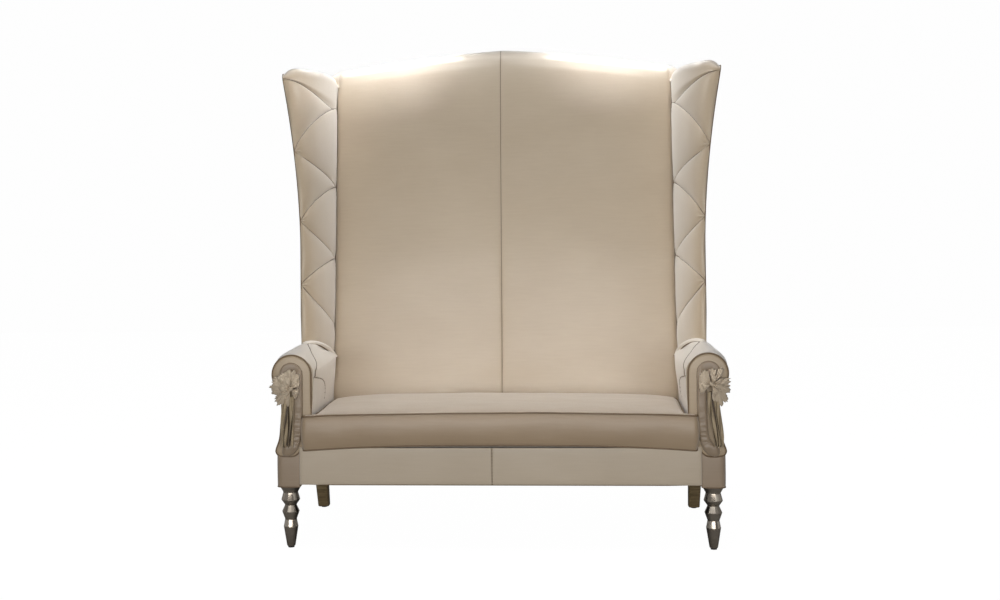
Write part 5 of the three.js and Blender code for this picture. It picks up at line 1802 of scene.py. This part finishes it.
# %% Ribbon tails
def ribbon_tail(side, start, end, width, swing, turn, seed, near, top):
    """A narrow ribbon with a crease along it and a slanting cut end."""
    def place(a, t):
        x = lerp(start, end, t**1.15) + swing * math.sin(math.pi * t) * MM
        z = lerp(top, 0.3565 + 5 * MM * noise.noise(Vector((seed, 3, 1))), t)
        wide = width * (1 - 0.55 * max(0.0, (t - 0.8) / 0.2) ** 1.2)
        twist = math.radians(turn) * math.sin(math.pi * (0.25 + 0.9 * t) + seed)
        off = (a - 0.5) * wide
        crease = 1.6 * MM * (1 - abs(2 * a - 1))
        y = FRONT - 20.5 * MM - near - off * math.sin(twist) - crease \
            - 2.5 * MM * math.sin(2.2 * math.pi * t + seed)
        z += (a - 0.5) * 9 * MM * max(0.0, (t - 0.85) / 0.15)
        return Vector((side * (x + off * math.cos(twist)), y, z))
    return patch(8, 46, place)


# start x, end x, width, swing, twist, how far in front, and shade of each ribbon;
# a ribbon with shade 1 is a dark sheet of painted shadow behind the others
TAILS = ((704, 722, 10.5, -3, 84, 0, 0), (710, 730, 10.5, -2, 80, 3, 0),
         (719, 738, 10.5, -1, 84, 0, 0), (727, 743, 10.5, 1, 78, 3, 0),
         (734, 748, 10.5, 2, 72, 0, 0), (713, 732, 15, -2, 12, -3.5, 1),
         (725, 741, 15, 0, 10, -3.5, 1))
TAIL_MIDDLE = 731
# how wide the ends fan out, how far they move inwards and the seed of each side
TAIL_SIDES = {"left": (1.5, 16, 4), "right": (1.0, 0, 0)}
for name, side in SIDES:
    fan, inwards, seed = TAIL_SIDES[name]
    for number, (start, end, width, swing, turn, near, shade) in enumerate(TAILS, 1):
        last = (TAIL_MIDDLE + (end - TAIL_MIDDLE) * fan - inwards) * MM
        start += 0.7 * (GATHER[name].x / MM - 712.5)
        tail = ribbon_tail(side, start * MM, last, width * MM, swing, turn,
                           number * 1.9 + seed, near * MM, GATHER[name].z - 26 * MM)
        cut = sum(face.calc_area() for face in tail.faces)
        piece = make_piece(f"{name}_ribbon_{number}", tail,
                           (painted_shadow_ribbon if shade else tail_cloth,),
                           (f"{name}_ribbon_tails",), outwards=(0, -1, 0), wall=0.6 * MM)

# %% [markdown]
# ## Legs
# The front legs are turned in double cones and then cut with flat facets, which gives
# sharp rims and facets that flash light and dark; which facets are light and which dark
# is painted on as reflection, facet by facet. They are skins drawn up over rings of
# facets, each rim with its own narrow bevel. The rear legs, made further on, are plain
# tapered wood.

# %% Front legs
LEG_HEIGHT = 214 * MM
LEG_FACETS = 16
# height in mm and radius in mm, from the foot up
LEG_PROFILE = ((4.4, 9.5), (5.2, 13.0), (7.5, 14.4), (12, 15.2), (70.0, 24.6),
               (72.8, 25.2), (75.8, 24.4), (95.6, 20.6), (97.4, 20.2), (99.2, 20.6),
               (122.2, 29.0), (124.6, 29.8), (127.0, 29.0), (144.8, 20.7), (146.5, 20.3),
               (148.2, 20.7), (163.4, 31.4), (165.8, 32.2), (168.2, 31.5), (188.0, 26.0),
               (190.2, 25.6), (192.4, 26.2), (205.0, 33.4), (208.0, 35.6), (210.4, 36.2),
               (214.0, 36.2))
# the cones that face up carry painted reflections facet by facet: their heights and the
# painted tones
FACETED = ((74, 97.2), (125.5, 146.3), (166.5, 190))
PAINTED_FACET_REFLECTIONS = (1.0, 0.1, 0.75, 0.0, 0.4)
# The painted reflection of the parts outside the faceted cones, mostly dark.
PLAIN_PAINTED_REFLECTION = 0.2  # of all the rest


def leg_rings(side):
    rings = []
    per = 4  # points on each facet
    half = math.pi / LEG_FACETS
    for z, r in LEG_PROFILE:
        ring = []
        for k in range(LEG_FACETS * per):
            a = 2 * math.pi * (k + 0.5 * per) / (LEG_FACETS * per)
            within = (k % per) / per
            flat = math.cos(half) / math.cos((within - 0.5) * 2 * half * 0.86)
            facet = lerp(1.0, flat, 0.85 if 12 < z < 206 else 0.0)
            ring.append(Vector((side * LEG_X + r * facet * MM * math.cos(a),
                                LEG_Y + r * facet * MM * math.sin(a), z * MM)))
        rings.append(ring)
    return rings


def painted_facet_reflection(point, side):
    """The painted reflection, dark at 0 and light at 1, of the facet that a point lies on."""
    angle = math.atan2(point.y - LEG_Y, point.x - side * LEG_X)
    number = math.floor(LEG_FACETS * angle / (2 * math.pi) - 0.375)
    for level, (low, high) in enumerate(FACETED):
        if low < point.z / MM < high:
            return PAINTED_FACET_REFLECTIONS[(2 * number + level + side) % len(PAINTED_FACET_REFLECTIONS)]
    return PLAIN_PAINTED_REFLECTION


for name, side in SIDES:
    leg = ring_skin(leg_rings(side))
    # Each point gets the painted reflection of its facet, which the pewter reads as its facet
    # value.
    layer = leg.verts.layers.float.new("facet")
    for v in leg.verts:
        v[layer] = painted_facet_reflection(v.co, side)
    make_piece(f"{name}_turned_leg", leg, (pewter,), (f"{name}_front_leg",),
               sharp=16)

# %% [markdown]
# ## What is underneath and inside
# The frame members, bolts and glides keep their CAD shapes and get their finishes; only
# the wings' boards lose the outer corner of their tops. The rear legs are redrawn with
# worn round edges. The webbing is real straps, laid over and under each other, and the
# black cloth under the seat is one sheet, stapled all round.

# %% Rear legs
GLIDE = 4.3 * MM  # the legs stand on glides of this height


def rear_leg_ring(side, share):
    """A rounded square section of a leg that tapers and rakes back."""
    z = lerp(GLIDE, LEG_HEIGHT, share)
    half = lerp(21.5 * MM, 27 * MM, share)
    foot = max(0.0, 1 - (z - GLIDE) / (4 * MM))
    half -= 2.2 * MM * foot**2
    y = lerp(back_y(BLOCK_BOTTOM) + POST_REAR + 35 * MM,
             back_y(BLOCK_BOTTOM) + POST_REAR - 41 * MM, share)
    ring = []
    for k in range(40):
        a = 2 * math.pi * k / 40
        c, s = math.cos(a), math.sin(a)
        ring.append(Vector((side * LEG_X + half * math.copysign(abs(c) ** 0.38, c),
                            y + half * math.copysign(abs(s) ** 0.38, s), z)))
    return ring


for name, side in SIDES:
    levels = [0, .002, .006, .012, .02] + [lerp(0.05, 1.0, i / 12) for i in range(13)]
    leg = ring_skin([rear_leg_ring(side, s) for s in levels])
    make_piece(f"{name}_raked_leg", leg, (stained,),
               (f"{name}_rear_leg",), sharp=50)


# %% The wings' boards, with the outer corner of their tops sawn off
corner_cut = Vector((wing_outer_x(WING_TOP), 0, WING_TOP - 48 * MM))
for name, side in SIDES:
    board = bmesh.new()
    board.from_mesh(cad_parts[f"{name}_wing_board"].data)
    parts = board.verts[:] + board.edges[:] + board.faces[:]
    bmesh.ops.bisect_plane(board, geom=parts, clear_outer=True,
                           plane_co=Vector((side * corner_cut.x, 0, corner_cut.z)),
                           plane_no=Vector((side * 36, 0, 34)).normalized())
    open_edges = [edge for edge in board.edges if edge.is_boundary]
    bmesh.ops.holes_fill(board, edges=open_edges, sides=0)
    make_piece(f"{name}_shaped_board", board, (hardwood,),
               (f"{name}_wing_board",))


# %% Straps and the bottom cloth
STRAP_WIDTH = 54 * MM


def straps(upright, level, box_x, box_v, place):
    """Straps both ways, each going over one crossing strap and under the next."""
    web = bmesh.new()

    def strap(middle, phase, crossings, stands):
        def put_at(a, t):
            off = (a - 0.5) * STRAP_WIDTH
            over = 0.5 * MM * math.sin(math.pi * (t * crossings + phase))
            if stands:
                return place(middle + off, lerp(*box_v, t), over)
            return place(lerp(*box_x, t), middle + off, over)
        return patch(3, crossings * 6, put_at)

    for number in range(upright):
        middle = lerp(*box_x, (number + 0.5) / upright)
        join(web, strap(middle, number, level, True))
    for number in range(level):
        middle = lerp(*box_v, (number + 0.5) / level)
        join(web, strap(middle, number + 1, upright, False))
    return web


def add_straps(name, node, web):
    area = sum(face.calc_area() for face in web.faces)
    piece = make_piece(name, web, (jute,), (node,), wall=0.8 * MM)


web_z = DECK_TOP - 26.3 * MM
seat_x, seat_y = (-0.730, 0.730), (FRONT + 5 * MM, back_y(web_z) + POST_REAR - 5 * MM)
web = straps(10, 5, seat_x, seat_y, lambda x, y, over: Vector((x, y, web_z + over)))
add_straps("seat_straps", "seat_webbing", web)
back_x, back_z = (-0.695, 0.695), (BLOCK_TOP + 12 * MM, BOARD_TOP - 12 * MM)
web = straps(9, 8, back_x, back_z,
             lambda x, z, over: Vector((x, back_y(z) + 63.3 * MM + over, z)))
add_straps("back_straps", "back_webbing", web)

low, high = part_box("dust_cover")


def bottom_place(a, t):
    sag = 2.2 * MM * swell(a, 0.7) * swell(t, 0.7)
    pucker = 0.5 * MM * math.sin(a * 180) * (1 - swell(t, 0.2))
    return Vector((lerp(low[0] + 2 * MM, high[0] - 2 * MM, a),
                   lerp(low[1] + 2 * MM, high[1] - 2 * MM, t) + pucker,
                   (low[2] + high[2]) / 2 - sag))


bottom = patch(120, 50, bottom_place)
bottom_sheet = make_piece("bottom_cloth", bottom, (bottom_cloth,),
                          ("dust_cover",), outwards=(0, 0, -1), wall=0.8 * MM)

# %% Finishes of the pieces that keep their CAD shape
for name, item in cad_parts.items():
    if item.hide_render:
        continue
    if "bolt" in name:
        finish = zinc
    elif "glide" in name:
        finish = nylon
    else:
        finish = hardwood
    for slot in item.material_slots:
        slot.link = "OBJECT"
        slot.material = finish
    print(name, "keeps its CAD shape in", finish.name)
